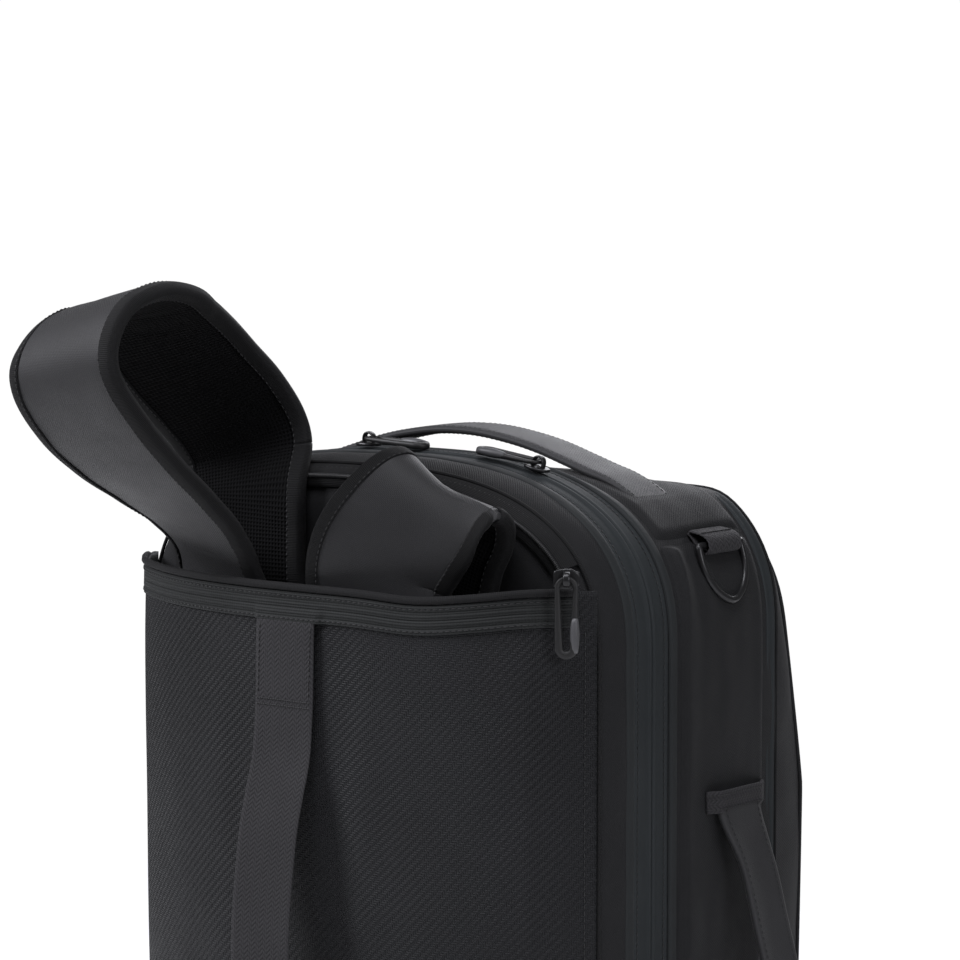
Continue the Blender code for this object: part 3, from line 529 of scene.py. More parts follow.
def build_main_shell():
    edge = REAR_ZIP_Y - TAPE_WIDTH
    keys = [hoop(ROUND, edge - 0.0005), hoop(ROUND, 0.018, 0, dip_at(0.018)), hoop(ROUND, 0.0, 0, dip_at(0.0)),
            hoop(ROUND, -0.020, 0, dip_at(-0.020)), hoop(ROUND, -0.040), front_hoop(ROUND, 0, 0),
            front_hoop(ROUND, 0.45, 0.003), front_hoop(ROUND, 0.80, 0.010), front_hoop(ROUND, 0.96, 0.020),
            front_hoop(ROUND, 1.0, 0.030)]
    body = smooth(keys, 7)
    n = grid_normals(body, closed=True)
    fade = ramp(np.linspace(0, 1, len(body)), 0.0, 0.12) * ramp(np.linspace(1, 0, len(body)), 0.0, 0.10)
    swell = rumple(body, ((0.0016, (0.07, 0.05, 0.09), 1), (0.0007, (0.03, 0.022, 0.035), 2)))
    body = body + n * (swell * fade[:, None])[..., None]
    rows = np.concatenate([[hoop(ROUND, REAR_ZIP_Y - 0.0003, RECESS)], [hoop(ROUND, edge, RECESS)], body,
                           [front_hoop(ROUND, 1.0, LID_INSET - 0.0006)]])
    grid("main_shell_cloth", rows, SHELL, "main_body", closed=True, u=ROUND_U, thick=SHELL_CLOTH, inner=LINING,
         flat_uv=True, replaces=["main_shell"])


def build_rear_shell():
    rings = smooth([hoop(ROUND, y, inset) for y, inset in REAR_EDGE], 6)
    swell = rumple(rings, ((0.0012, (0.06, 0.05, 0.07), 4), (0.0008, (0.022, 0.02, 0.03), 5)))
    fade = ramp(np.linspace(0, 1, len(rings)), 0.0, 0.3)
    n = grid_normals(rings, closed=True)
    rings = rings + n * (swell * fade[:, None])[..., None]
    middle = np.array((0.0, BACK_Y, MIDDLE_Z))
    wall = [middle + (rings[-1] - middle) * share for share in (0.96, 0.90, 0.8, 0.65, 0.5, 0.35, 0.2, 0.06)]
    edge = REAR_ZIP_Y + TAPE_WIDTH
    rows = np.concatenate([[hoop(ROUND, REAR_ZIP_Y + 0.0003, RECESS)], [hoop(ROUND, edge, RECESS)], rings, wall])
    grid("rear_shell_cloth", rows, SHELL, "rear_door", closed=True, u=ROUND_U, caps=(False, True),
         thick=SHELL_CLOTH, inner=LINING, flat_uv=True, replaces=["rear_shell"])


def patch(name, s, ys, swell, body):
    """A sewn panel lying on the shell, whose edges turn down into their seams."""
    p = np.stack([hoop(s, y, 0, dip_at(y)) for y in ys])
    n = grid_normals(p)
    return grid(name, p + n * swell(p)[..., None], SHELL, body)


def build_side_panels():
    """Padded side panels under the crown, and the crown panel between them."""
    top, bottom = s_at(0.476), s_at(0.050)
    ys = np.linspace(-0.0560, 0.0262, 46)
    for side, sign in (("left", 1), ("right", -1)):
        s = sign * np.linspace(top, bottom, 190)

        def swell(p, s=np.abs(s)):
            down = (s - top)[None, :]
            up = (bottom - s)[None, :]
            back, ahead = (ys[-1] - ys)[:, None], (ys - ys[0])[:, None]
            edge = ramp(np.minimum(np.minimum(back, ahead * 0.8), np.minimum(down, up)), 0, 0.007)
            roll = 0.0030 * np.exp(-((ys[:, None] - 0.0195) / 0.0050) ** 2) * ramp(-down, -0.060, -0.006)
            hollow = -0.0018 * np.exp(-((ys[:, None] - 0.007) / 0.005) ** 2) * ramp(-down, -0.075, -0.01)
            folds = rumple(p, ((0.0014, (0.05, 0.030, 0.11), 8), (0.0006, (0.02, 0.013, 0.035), 9)))
            return -0.0010 + edge * (0.0042 + roll + hollow + folds)

        patch("side_panel_" + side, s, ys, swell, "main_body")
    s = np.linspace(-top + 0.0015, top - 0.0015, 200)

    def crown(p):
        ends = (top - np.abs(s))[None, :]
        back, ahead = (ys[-1] - ys)[:, None], (ys - ys[0])[:, None]
        edge = ramp(np.minimum(np.minimum(back, ahead), ends), 0, 0.008)
        folds = rumple(p, ((0.0012, (0.06, 0.04, 0.06), 11), (0.0005, (0.022, 0.016, 0.022), 12)))
        return -0.0010 + edge * (0.0034 + folds)

    patch("crown_panel", s, ys, crown, "main_body")


def build_front_seam():
    """Ribbed tape and two piping cords round the seam between gusset and front."""
    tape = [(-0.0565, 0.0004), (-0.0570, -0.0006), (-0.0585, -0.0008), (-0.0600, -0.0002), (-0.0612, -0.0008),
            (-0.0630, -0.0010), (-0.0648, -0.0006), (-0.0655, 0.0006)]
    p = np.stack([hoop(ROUND, y, high) for y, high in tape])
    grid("front_seam_tape", p, COATED, "main_body", closed=True, u=ROUND_U)
    cord = hoop(ROUND, -0.0668, 0.0)
    tube("front_piping", cord, 0.0010, BINDING, "main_body", closed=True, sides=8)
    cord = front_hoop(ROUND, 0.80, 0.0092)
    tube("front_edge_piping", cord, 0.0012, SHELL, "main_body", closed=True, sides=8, slot="trim_webbing")


# ---------------------------------------------------------------- zips
def zip_tape(name, place, body, node, facing=None):
    """One coated tape: a bead over the coil at its inner edge, then flat, with a sewn line near its outer edge."""
    profile = ((0.0003, -0.0006), (0.0004, 0.0004), (0.0009, 0.0011), (0.0018, 0.0013), (0.0028, 0.0011),
               (0.0036, 0.0003), (0.0050, 0.0002), (0.0080, 0.0003), (0.0110, 0.0002), (0.0118, -0.0002),
               (0.0126, 0.0002), (0.0148, 0.0003), (0.0152, -0.0002))
    p = np.stack([place(out, high) for out, high in profile])
    return grid(name, p, COATED, body, facing=facing, replaces=[node])


def rear_route():
    """The rear zip starts where the +X hinge ends, and runs over the crown, down the -X side and along the base."""
    shoulder = s_at(HEIGHT - CROWN)
    return np.linspace(-shoulder, LOOP - s_at(BASE_RADIUS), 330)


def build_rear_zip():
    s = rear_route()
    for name, sign, body in (("main", -1, "main_body"), ("door", 1, "rear_door")):
        def place(out, high, sign=sign):
            return hoop(s, REAR_ZIP_Y + sign * out, TAPE_FACE - high)

        zip_tape("rear_zip_" + name, place, body, "rear_zip_tape_" + name)
        line = hoop(s, REAR_ZIP_Y + sign * 0.0119, TAPE_FACE)
        x, z = rim(s)
        out = np.stack([x, np.zeros_like(x), z - 0.25], -1)
        stitches("rear_zip_stitches_" + name, line, unit(out), body)
    # a coated facing beside each tape, sewn to its shell along a dark sunk line
    for name, near, far, body in (("main", 0.0342, 0.0268, "main_body"), ("door", 0.0658, 0.0732, "rear_door")):
        rows = []
        for t, high in ((0.0, -0.0006), (0.03, 0.0004), (0.12, 0.0010), (0.30, 0.0012), (0.60, 0.0010),
                        (0.82, 0.0008), (0.90, 0.0004), (0.96, -0.0002), (1.0, -0.0008)):
            y = near + (far - near) * t
            inset = float(np.interp(y, *zip(*REAR_EDGE)))
            rows.append(hoop(s, y, inset - high, float(dip_at(y))))
        grid("rear_zip_facing_" + name, np.stack(rows), FACING, body)
    # hinge: one strip of woven trim from shell to shell down the +X side
    z = np.linspace(0.052, 0.412, 60)
    ys = np.linspace(REAR_ZIP_Y - TAPE_WIDTH + 0.001, REAR_ZIP_Y + TAPE_WIDTH - 0.001, 17)
    xs = WIDTH / 2 - 0.0006 + 0.0006 * np.cos((ys - REAR_ZIP_Y) / 0.0145 * 1.5)
    p = np.stack([np.stack([np.full_like(z, x), np.full_like(z, y), z], -1) for x, y in zip(xs, ys)])
    hinge = grid("rear_hinge_trim", p, TRIM, None, facing=(1, 0, 0), replaces=["rear_hinge_strip"])
    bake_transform(hinge)


# ---------------------------------------------------------------- stash pocket
def back_y(x, z):
    inset = np.clip(np.minimum(WIDTH / 2 - np.abs(x), z), 0, None)
    ys, insets = zip(*REAR_EDGE)
    return np.interp(inset, insets, ys)


def panel_y(x, z):
    u = np.clip(np.abs(x) / PANEL_HALF, 0, 1)
    v = np.clip((z - PANEL_BASE_Z) / (MOUTH_Z - PANEL_BASE_Z), 0, None)
    rise = (1 - np.clip(1 - v, 0, None) ** 3) * (1 - 0.16 * v ** 3)
    return back_y(x, z) + 0.0010 + PANEL_BULGE * rise * (1 - u ** 3)


def mouth_z(x):
    wave = 0.0020 * np.exp(-((x + 0.137) / 0.020) ** 2) - 0.0024 * np.exp(-((x + 0.080) / 0.026) ** 2)
    return MOUTH_Z - 0.002 * (1 - (x / PANEL_HALF) ** 2) + wave


def panel_sag(x, z):
    """How far the cloth stands off the plain shape: soft folds that die away at the seams."""
    p = np.stack([x, np.zeros_like(x), z], -1)
    inside = ramp(PANEL_HALF - np.abs(x), 0.002, 0.035) * ramp(z, PANEL_BASE_Z + 0.002, PANEL_BASE_Z + 0.05)
    near_mouth = 1 - 0.75 * ramp(z, MOUTH_Z - 0.045, MOUTH_Z - 0.012)
    slow = rumple(p, ((0.0036, (0.085, 1, 0.13), 21), (0.0010, (0.030, 1, 0.055), 22)))
    ridge = 0.0014 * np.exp(-((np.abs(x) - 0.034) / 0.010) ** 2) * ramp(-z, -0.43, -0.36)
    return inside * near_mouth * (slow - ridge)


def panel_point(x, z, off=0.0):
    x, z = np.broadcast_arrays(np.asarray(x, float), np.asarray(z, float))
    return np.stack([x, panel_y(x, z) + PANEL_SKIN + panel_sag(x, z) + off, z], -1)


def mouth_row(xs, drop, off):
    return panel_point(xs, mouth_z(xs) - drop, off)


def build_stash_panel():
    u = np.sin(np.linspace(-1, 1, 131) * math.pi / 2 * 0.92) / math.sin(math.pi / 2 * 0.92)
    rows = []
    for share in np.linspace(0, 1, 171):
        x = u * PANEL_HALF
        z = PANEL_BASE_Z + (mouth_z(x) - PANEL_BASE_Z) * share
        low = np.clip(1 - (z - PANEL_BASE_Z) / 0.038, 0, None) ** 2
        rows.append(panel_point(x * (1 - 0.012 / PANEL_HALF * low), z))
    grid("stash_panel_cloth", np.stack(rows), PANEL, "stash_pocket", facing=(0, 1, 0), thick=PANEL_SKIN,
         inner=LINING, replaces=["stash_panel"])

    xs = np.linspace(-0.1490, 0.1490, 150)
    tube("stash_mouth_hem", mouth_row(xs, 0.0004, 0.0004), 0.0021, TRIM, "stash_pocket")
    profile = ((0.0030, -0.0004), (0.0031, 0.0010), (0.0040, 0.0015), (0.0060, 0.0014), (0.0066, 0.0008),
               (0.0072, 0.0014), (0.0100, 0.0015), (0.0106, 0.0009), (0.0112, 0.0015), (0.0140, 0.0016),
               (0.0146, 0.0010), (0.0152, 0.0015), (0.0180, 0.0014), (0.0184, 0.0008), (0.0185, -0.0004))

    def band_row(drop, off):
        over_strap = 0.0022 * ramp(-np.abs(xs), -0.0235, -0.0205) * float(ramp(drop, 0.0085, 0.0150))
        return mouth_row(xs, drop, off + over_strap)

    band = np.stack([band_row(drop, off) for drop, off in profile])
    grid("stash_mouth_band", band, BAND, "stash_pocket", facing=(0, 1, 0), replaces=["stash_mouth_tape"])
    for name, drop in (("upper", 0.0050), ("lower", 0.0166)):
        stitches("stash_band_stitches_" + name, band_row(drop, 0.0016), (0, 1, 0.1), "stash_pocket")
    z = np.linspace(0.030, MOUTH_Z - 0.020, 160)
    for side, sign in (("left", -1), ("right", 1)):
        seam = panel_point(sign * (PANEL_HALF - 0.0030) * np.ones_like(z), z, 0.0001)
        stitches("stash_side_stitches_" + side, seam, (sign * 0.5, 0.85, 0), "stash_pocket")
        gusset = np.stack([
            np.stack([np.full_like(z, sign * x), back_y(np.full_like(z, x), z) + 0.0004 + lift, z], -1)
            for x, lift in ((0.1360, 0.0), (0.1400, 0.0001), (0.1450, 0.0003), (0.1500, 0.0004), (0.1535, 0.0006))
        ])
        fold = grid("stash_gusset_" + side, gusset, TRIM, None, facing=(sign, 0.2, 0))
        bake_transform(fold)
    build_trolley_strap()
    build_stash_zip()
    # the seam round the back panel, which carries on over the crown above the pocket
    low = s_at(0.10)
    cord = hoop(np.linspace(-low, low, 420), 0.0905, 0.0045)
    tube("back_seam_piping", cord, 0.0011, BINDING, "rear_door", sides=8)


def build_trolley_strap():
    keys = ((0.4430, -0.0012), (0.4375, -0.0006), (0.4325, 0.0), (0.395, 0.0), (0.368, 0.0010), (0.345, 0.0070),
            (0.320, 0.0125), (0.264, 0.0190), (0.205, 0.0185), (0.150, 0.0130), (0.118, 0.0040), (0.100, 0.0008),
            (0.060, 0.0))
    path = smooth([(0, float(panel_y(0, z)) + PANEL_SKIN + 0.0028 + gap, z) for z, gap in keys], 9)
    path[:, 0] += 0.0008 * np.sin(path[:, 2] * 31)
    across = np.tile((1.0, 0, 0), (len(path), 1))
    wide, high = section(0.0200, 0.0022, 13, power=10)
    p = strap_grid(path, across, wide, high)
    curl = 0.0012 * (wide / 0.02) ** 4
    p[..., 1] += curl[None] * ramp(path[:, 2], 0.10, 0.14)[:, None] * ramp(-path[:, 2], -0.40, -0.37)[:, None]
    grid("trolley_webbing", p, WEBBING, "stash_pocket", closed=True, caps=(True, True), replaces=["trolley_strap"])

    def sewn(name, xs, zs, *size):
        xs, zs = np.broadcast_arrays(xs, zs)
        ys = np.interp(zs, path[::-1, 2], path[::-1, 1]) + 0.0011
        stitches(name, np.stack([xs, ys, zs], -1), (0, 1, 0), "stash_pocket", *size)

    for name, z in (("top", 0.3955), ("top_second", 0.3925), ("bottom", 0.1000), ("bottom_second", 0.0975)):
        sewn("bartack_" + name, np.linspace(-0.0185, 0.0185, 30), z, 0.0016, 0.0015, 0.0004)
    for side, x in (("left", -0.0175), ("right", 0.0175)):
        sewn("trolley_stitches_" + side, x, np.linspace(0.398, 0.436, 20))


def build_stash_zip():
    """The fixed half of the pocket's zip, over the crown's rounded back edge, with its coil standing proud."""
    end = s_at(0.4740)
    s = np.linspace(-end, end, 260)
    profile = ((0.0905, 0.0062, 0.0002), (0.0912, 0.0066, 0.0014), (0.0935, 0.0082, 0.0018),
               (0.0958, 0.0096, 0.0016), (0.0972, 0.0112, 0.0020), (0.0982, 0.0140, 0.0016),
               (0.0988, 0.0178, 0.0010), (0.0990, 0.0184, 0.0002))
    p = np.stack([hoop(s, y + lift, inset - 0.0012) for y, inset, lift in profile])
    grid("stash_zip_upper", p, TRIM, "rear_door", facing=(0, 1, 0.2), replaces=["stash_zip_tape_upper"])
    line = hoop(np.linspace(-end, end, 1100), 0.0996, 0.0112)
    wave = 0.0012 * (1 + 0.28 * np.sin(np.arange(len(line)) * 2 * math.pi / 4))
    tube("stash_zip_coil", line, wave, MOULDED, "rear_door", sides=7)
    line = hoop(s, 0.0945, 0.0070)
    stitches("stash_zip_stitches", line, (0, 0.6, 0.8), "rear_door")


# ---------------------------------------------------------------- shoulder straps
LEFT_ROUTE = (
    (-0.060, 0.1062, 0.4300), (-0.060, 0.1066, 0.4430), (-0.060, 0.1080, 0.4560), (-0.065, 0.1080, 0.4760),
    (-0.0715, 0.1080, 0.4920), (-0.0750, 0.1143, 0.5035), (-0.0690, 0.1240, 0.5000), (-0.0570, 0.1315, 0.4860),
    (-0.0445, 0.1345, 0.4650), (-0.0430, 0.1295, 0.4360), (-0.0450, 0.1215, 0.4040), (-0.046, 0.1150, 0.3720),
)
LEFT_ACROSS = (
    (1, 0, 0.05), (1, 0, 0.05), (1, 0, 0.05), (1, 0, 0.15), (1, 0.02, 0.28), (1, 0.10, 0.36), (1, 0.20, 0.36),
    (1, 0.30, 0.26), (1, 0.34, 0.10), (1, 0.22, 0.03), (1, 0.06, 0), (1, 0, 0),
)
RIGHT_ROUTE = (
    (0.072, 0.1062, 0.4300), (0.072, 0.1066, 0.4430), (0.072, 0.1080, 0.4560), (0.072, 0.1078, 0.4780),
    (0.072, 0.1072, 0.4990), (0.076, 0.1015, 0.5170), (0.079, 0.1058, 0.5315), (0.082, 0.1190, 0.5480),
    (0.085, 0.1360, 0.5640), (0.085, 0.1545, 0.5804), (0.082, 0.1736, 0.5940), (0.077, 0.1911, 0.6020),
    (0.074, 0.2130, 0.6035), (0.073, 0.2350, 0.5955), (0.073, 0.2470, 0.5783), (0.073, 0.2435, 0.5600),
    (0.073, 0.2240, 0.5370), (0.073, 0.2000, 0.5175), (0.073, 0.1720, 0.4990), (0.073, 0.1480, 0.4820),
    (0.072, 0.1325, 0.4640), (0.071, 0.1250, 0.4360), (0.070, 0.1185, 0.4040), (0.070, 0.1150, 0.3720),
)
RIGHT_ACROSS = (
    (1, 0, 0), (1, 0, 0), (1, 0, 0), (1, 0, -0.04), (1, 0.01, -0.12), (1, 0.16, -0.18), (1, 0.30, -0.22),
    (1, 0.40, -0.25), (1, 0.44, -0.25), (1, 0.38, -0.25), (1, 0.24, -0.24), (1, 0.08, -0.24), (1, -0.04, -0.24),
    (1, -0.10, -0.24), (1, -0.11, -0.22), (1, -0.13, -0.22), (1, -0.16, -0.22), (1, -0.22, -0.18),
    (1, -0.32, -0.14), (1, -0.40, -0.10), (1, -0.36, -0.05), (1, -0.15, 0), (1, -0.03, 0), (1, 0, 0),
)
SPLIT = 5                # the key at the crest, where the sewn root ends and the free strap begins
STRAP_STEPS = 8


def build_strap(side, route, across):
    path, wide_way = smooth(route, STRAP_STEPS), smooth(across, STRAP_STEPS)
    wide, high = section(STRAP_HALF - 0.0008, STRAP_THICK - 0.0022, 17, crown=0.10)
    p = strap_grid(path, wide_way, wide, high)
    h, n = frames(path, wide_way)
    swell = rumple(p, ((0.0007, (0.03, 0.03, 0.03), 31), (0.0003, (0.012, 0.012, 0.012), 32)))
    p += (n[:, None] * -np.sign(high)[None, :, None]) * swell[..., None]
    edge = np.abs(wide) > STRAP_HALF * 0.76
    cut = SPLIT * STRAP_STEPS
    last = len(path)
    for part, first, end in (("root", 0, cut + 1), ("loop", cut, last)):
        name = f"strap_{side}_{part}"
        free = part == "loop"
        body = "strap_" + side if free else None
        nodes = ["shoulder_strap_" + side] if free else ["strap_root_" + side]
        pad = grid(name, p[first:end], [STRAP, MESH], body, closed=True, caps=(not free, free),
                   by_column=lambda c: int(c >= 16), replaces=nodes)
        rows = end - first
        pinned = [r * len(wide) + c for r in range(rows) for c in range(len(wide))
                  if edge[c] or r < 2 or r > rows - 3]
        if free:
            puff(pad, pinned)
        pieces = [pad]
        run, ways = path[first:end], wide_way[first:end]
        for hand, sign in (("inner", -1), ("outer", 1)):
            u = np.linspace(0.765, 1.0, 8) ** 0.8
            skin = []
            for grow in (0.0011, 0.0001):
                level = (1 - u ** 7) ** (1 / 2.4) * ((STRAP_THICK - 0.0022) / 2) + grow
                level[-1] = 0.0
                x = sign * (u * (STRAP_HALF - 0.0012) + grow)
                skin.append((np.concatenate([x, x[::-1][1:]]), np.concatenate([level, -level[::-1][1:]])))
            wide_b = np.concatenate([skin[0][0], skin[1][0][::-1]])
            high_b = np.concatenate([skin[0][1], skin[1][1][::-1]])
            q = strap_grid(run, ways, wide_b, high_b)
            pieces.append(grid(f"{name}_binding_{hand}", q, BINDING, body, closed=True, caps=(True, True)))
            for face, up in (("top", 1), ("under", -1)):
                x = sign * (STRAP_HALF - 0.0078)
                line = run + h[first:end] * x - n[first:end] * (up * (STRAP_THICK / 2 - 0.0006))
                pieces.append(stitches(f"{name}_stitches_{hand}_{face}", line, n[first:end] * -up, body))
        if not free:
            for made in pieces:
                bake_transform(made)


def build_webbing():
    """The adjusting webbing, from its lock down and once round the hook's bar."""
    for side, x in (("left", -0.046), ("right", 0.070)):
        lock_z, lock_y = 0.372 - 0.019, BACK_Y + 0.0066
        high, low = lock_z + 0.0135, lock_z - 0.130
        path = [(x, lock_y, high + (low - high) * k / 24) for k in range(25)]
        for turn in range(20, 271, 25):
            angle = math.radians(turn)
            path.append((x, lock_y + 0.0036 * (1 - math.cos(angle)), low - 0.0036 * math.sin(angle)))
        strip("webbing_strip_" + side, path, (1, 0, 0), section(0.0125, 0.0014, 9, power=10), WEBBING,
              "webbing_" + side, replaces=["strap_webbing_" + side])


# ---------------------------------------------------------------- handles
def build_top_handle():
    rise = ((-0.126, 0.4950), (-0.115, 0.5016), (-0.102, 0.5070), (-0.0895, 0.5105), (-0.0752, 0.5150),
            (-0.055, 0.5212), (-0.035, 0.5255), (-0.012, 0.52845))
    keys = [(x, -0.002, z) for x, z in rise] + [(-x, -0.002, z) for x, z in reversed(rise)]
    path = smooth(keys, 9)
    across = np.tile((0, -1.0, 0), (len(path), 1))
    wide, high = section(0.0165, 0.0046, 13, crown=0.10, power=9)
    p = strap_grid(path, across, wide, high)
    h, n = frames(path, across)
    thin = 1 - 0.60 * ramp(np.abs(path[:, 0]), 0.092, 0.126)
    p += n[:, None] * (high[None, :] * (1 - thin[:, None]))[..., None]
    middle = len(path) // 2
    for side, sign, first, end in (("left", -1, 0, middle + 1), ("right", 1, middle, len(path))):
        nodes = ["top_handle_root_" + side] + (["top_handle_grip"] if side == "left" else [])
        pieces = [grid("top_handle_pad_" + side, p[first:end], STRAP, None, closed=True,
                       caps=(side == "left", side == "right"), replaces=nodes)]
        for hand, x in (("front", 0.0135), ("back", -0.0135)):
            for face, up in (("top", 1), ("under", -1)):
                line = path[first:end] + h[first:end] * x - n[first:end] * (up * 0.0020) * thin[first:end, None]
                pieces.append(stitches(f"top_handle_stitches_{side}_{hand}_{face}", line, n[first:end] * -up, None,
                                       radius=0.00026))
        for made in pieces:
            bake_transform(made)


def build_side_handle():
    x0, high, low, y = -(WIDTH / 2 + 0.0040), 0.337, 0.150, -0.023
    keys = ((0.0, high + 0.002), (-0.0030, high - 0.012), (-0.0085, high - 0.028), (-0.0142, high - 0.0447),
            (-0.0200, high - 0.066), (-0.0262, high - 0.088), (-0.0310, high - 0.108), (-0.0315, high - 0.124),
            (-0.0255, high - 0.140), (-0.0172, low + 0.0352), (-0.0100, low + 0.0190), (-0.0035, low + 0.0070),
            (0.0, low - 0.0060))
    path = smooth([(x0 + dx, y, z) for dx, z in keys], 9)
    across = np.tile((0, 1.0, 0), (len(path), 1))
    h, n = frames(path, across)
    wide, tall = section(0.0190, 0.0052, 15, power=9)
    share = np.linspace(0, 1, len(path))
    pinch = 1 - 0.20 * ramp(share, 0.04, 0.22) * ramp(1 - share, 0.04, 0.22)
    p = path[:, None] + h[:, None] * (wide[None, :] * pinch[:, None])[..., None] - n[:, None] * (
        tall[None, :] + 0.0030 * (1 - pinch[:, None]) / 0.20 * (wide[None, :] / 0.019) ** 2)[..., None]
    middle = len(path) // 2
    for side, first, end, z_start, z_end in (
        ("upper", 0, middle + 1, high - 0.034, high - 0.062),
        ("lower", middle, len(path), low + 0.020, low + 0.046),
    ):
        nodes = ["side_handle_root_" + side] + (["side_handle_grip"] if side == "upper" else [])
        pieces = [grid("side_handle_pad_" + side, p[first:end], STRAP, None, closed=True,
                       caps=(side == "upper", side == "lower"), replaces=nodes)]
        for hand, sign in (("front", 1), ("back", -1)):
            lift = 0.0026 + 0.0030 * (1 - pinch[first:end]) / 0.20 * 0.75 ** 2
            line = (path[first:end] + h[first:end] * (sign * 0.0148 * pinch[first:end])[:, None]
                    - n[first:end] * lift[:, None])
            pieces.append(stitches(f"side_handle_stitches_{side}_{hand}", line, -n[first:end], None))
        for made in pieces:
            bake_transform(made)
    for name, z in (("upper", high - 0.001), ("lower", low - 0.003)):
        centre = np.array([(x0 - 0.0032, y - 0.0265 + 0.053 * k / 20, z) for k in range(21)])
        centre[:, 0] += 0.0040 * ramp(np.abs(centre[:, 1] - y), 0.0185, 0.0260)
        strip("side_anchor_" + name, centre, (0, 0, 1), section(0.0062, 0.0018, 9, power=8), WEBBING, "main_body")
        for row, rise in (("low", -0.0038), ("high", 0.0038)):
            stitches(f"side_anchor_stitches_{name}_{row}", centre + (-0.0010, 0, rise), (-1, 0, 0), "main_body",
                     0.0020, 0.0017)


# ---------------------------------------------------------------- hardware
def build_d_ring(name, bar, tilt, lean):
    bar = np.array(bar)
    half = [(-0.0195, 0.0), (-0.0195, 0.010), (-0.0160, 0.020), (-0.0090, 0.0275)]
    keys = half + [(0.0, 0.0310)] + [(-a, d) for a, d in reversed(half)]
    curve = smooth([(a, d, 0) for a, d in keys], 6)
    bottom = [(x, 0.0, 0) for x in np.linspace(0.0195, -0.0195, 14)[1:-1]]
    flat = np.concatenate([curve, bottom])
    p = bar + flat[:, :1] * (0, 1, 0) - flat[:, 1:2] * (math.sin(lean), 0, math.cos(lean))
    tube(name + "_wire", p, 0.0021, METAL, name + "_body", closed=True, sides=14, replaces=[name])
    out, up = np.array((-math.cos(tilt), 0, math.sin(tilt))), np.array((math.sin(tilt), 0, math.cos(tilt)))
    fold = ((-0.0052, 0.0110), (-0.0042, 0.0070), (-0.0040, 0.0030), (-0.0038, -0.0008), (-0.0026, -0.0034),
            (0.0, -0.0044), (0.0026, -0.0034), (0.0040, -0.0004), (0.0038, 0.0024), (0.0020, 0.0056),
            (-0.0012, 0.0088), (-0.0038, 0.0112))
    path = smooth([bar + out * a + up * b for a, b in fold], 5)
    tab = name.replace("ring", "ring_tab")
    strip(tab + "_webbing", path, (0, 1, 0), section(0.0155, 0.0016, 11, power=10), WEBBING, "main_body",
          replaces=[tab])
    ys = np.linspace(-0.0140, 0.0140, 16)
    row = np.stack([bar + out * 0.0026 + up * 0.0064 + np.array((0, y, 0)) for y in ys])
    stitches(tab + "_stitches", row, out, "main_body", 0.0018, 0.0016, 0.0004)


def build_slider(name, at, run, out, pull_along):
    """A zip slider with its bail, and the slotted pull that hangs from it."""
    at, run, out, pull_along = (np.array(v, float) for v in (at, run, out, pull_along))
    run, out, pull_along = unit(run), unit(out), unit(pull_along)
    side = np.cross(out, run)
    rows = []
    turn = np.linspace(0, 2 * math.pi, 20, endpoint=False)
    for s, w in ((-0.0067, 0.0020), (-0.0064, 0.0032), (-0.0050, 0.0040), (-0.0028, 0.0052), (0.0, 0.0054),
                 (0.0028, 0.0052), (0.0052, 0.0048), (0.0064, 0.0040), (0.0067, 0.0028)):
        tall = 0.0011 if abs(s) < 0.0064 else 0.0008
        across = np.sign(np.cos(turn)) * np.abs(np.cos(turn)) ** 0.45 * w
        up = 0.0019 + np.sign(np.sin(turn)) * np.abs(np.sin(turn)) ** 0.45 * tall
        rows.append(at + run * s + side * across[:, None] + out * up[:, None])
    body = name + "_body"
    grid(name + "_plate", np.stack(rows), METAL, body, closed=True, caps=(True, True), replaces=[name])
    pivot = at + out * 0.0052
    arch = ((-0.0034, -0.0030), (-0.0034, 0.0), (-0.0024, 0.0022), (0, 0.0031), (0.0024, 0.0022), (0.0034, 0.0),
            (0.0034, -0.0030))
    path = smooth([pivot + pull_along * s + out * high for s, high in arch], 5)
    across = np.cross(out, pull_along)
    strip(name + "_bail", path, across, section(0.0018, 0.0013, 9, power=5), METAL, body)

    half = PULL_WIDTH / 2
    rows = []
    for k in range(72):
        angle = 2 * math.pi * (k + 0.5) / 72
        end = 0.0 if math.cos(angle) < 0 else PULL_LENGTH - 2 * half
        radial = pull_along * math.cos(angle) + across * math.sin(angle)
        centre = pivot + pull_along * (end + half - PULL_LEAD) + radial * (half - PULL_RIM / 2)
        ring = []
        along = float(np.dot(centre - pivot, pull_along)) / PULL_LENGTH
        stout = 1 + 0.85 * float(ramp(along, 0.10, 0.34))
        centre = centre - radial * (stout - 1) * PULL_RIM / 2
        for a in np.linspace(0, 2 * math.pi, 12, endpoint=False):
            c, d = (math.copysign(abs(way) ** 0.6, way) * stout for way in (math.cos(a), math.sin(a)))
            ring.append(centre + radial * (c * PULL_RIM / 2) + out * (d * 0.0011))
        rows.append(ring)
    pull = name.replace("slider", "pull")
    grid(pull + "_loop", np.array(rows), CORD, pull + "_body", closed=True, ring=True, replaces=[pull])
    # a swelling on one leg of the pull in a lighter colour: a painted highlight for the glint on the pull's slanted
    # face
    leg = [pivot + pull_along * (PULL_LENGTH * t) + across * (half - PULL_RIM * 0.70) + out * 0.0004
           for t in np.linspace(0.46, 0.88, 9)]
    tube(pull + "_sleeve", leg, 0.0026 - 0.0010 * np.linspace(-1, 1, 9) ** 2, PAINTED_PULL_GLINT, pull + "_body")


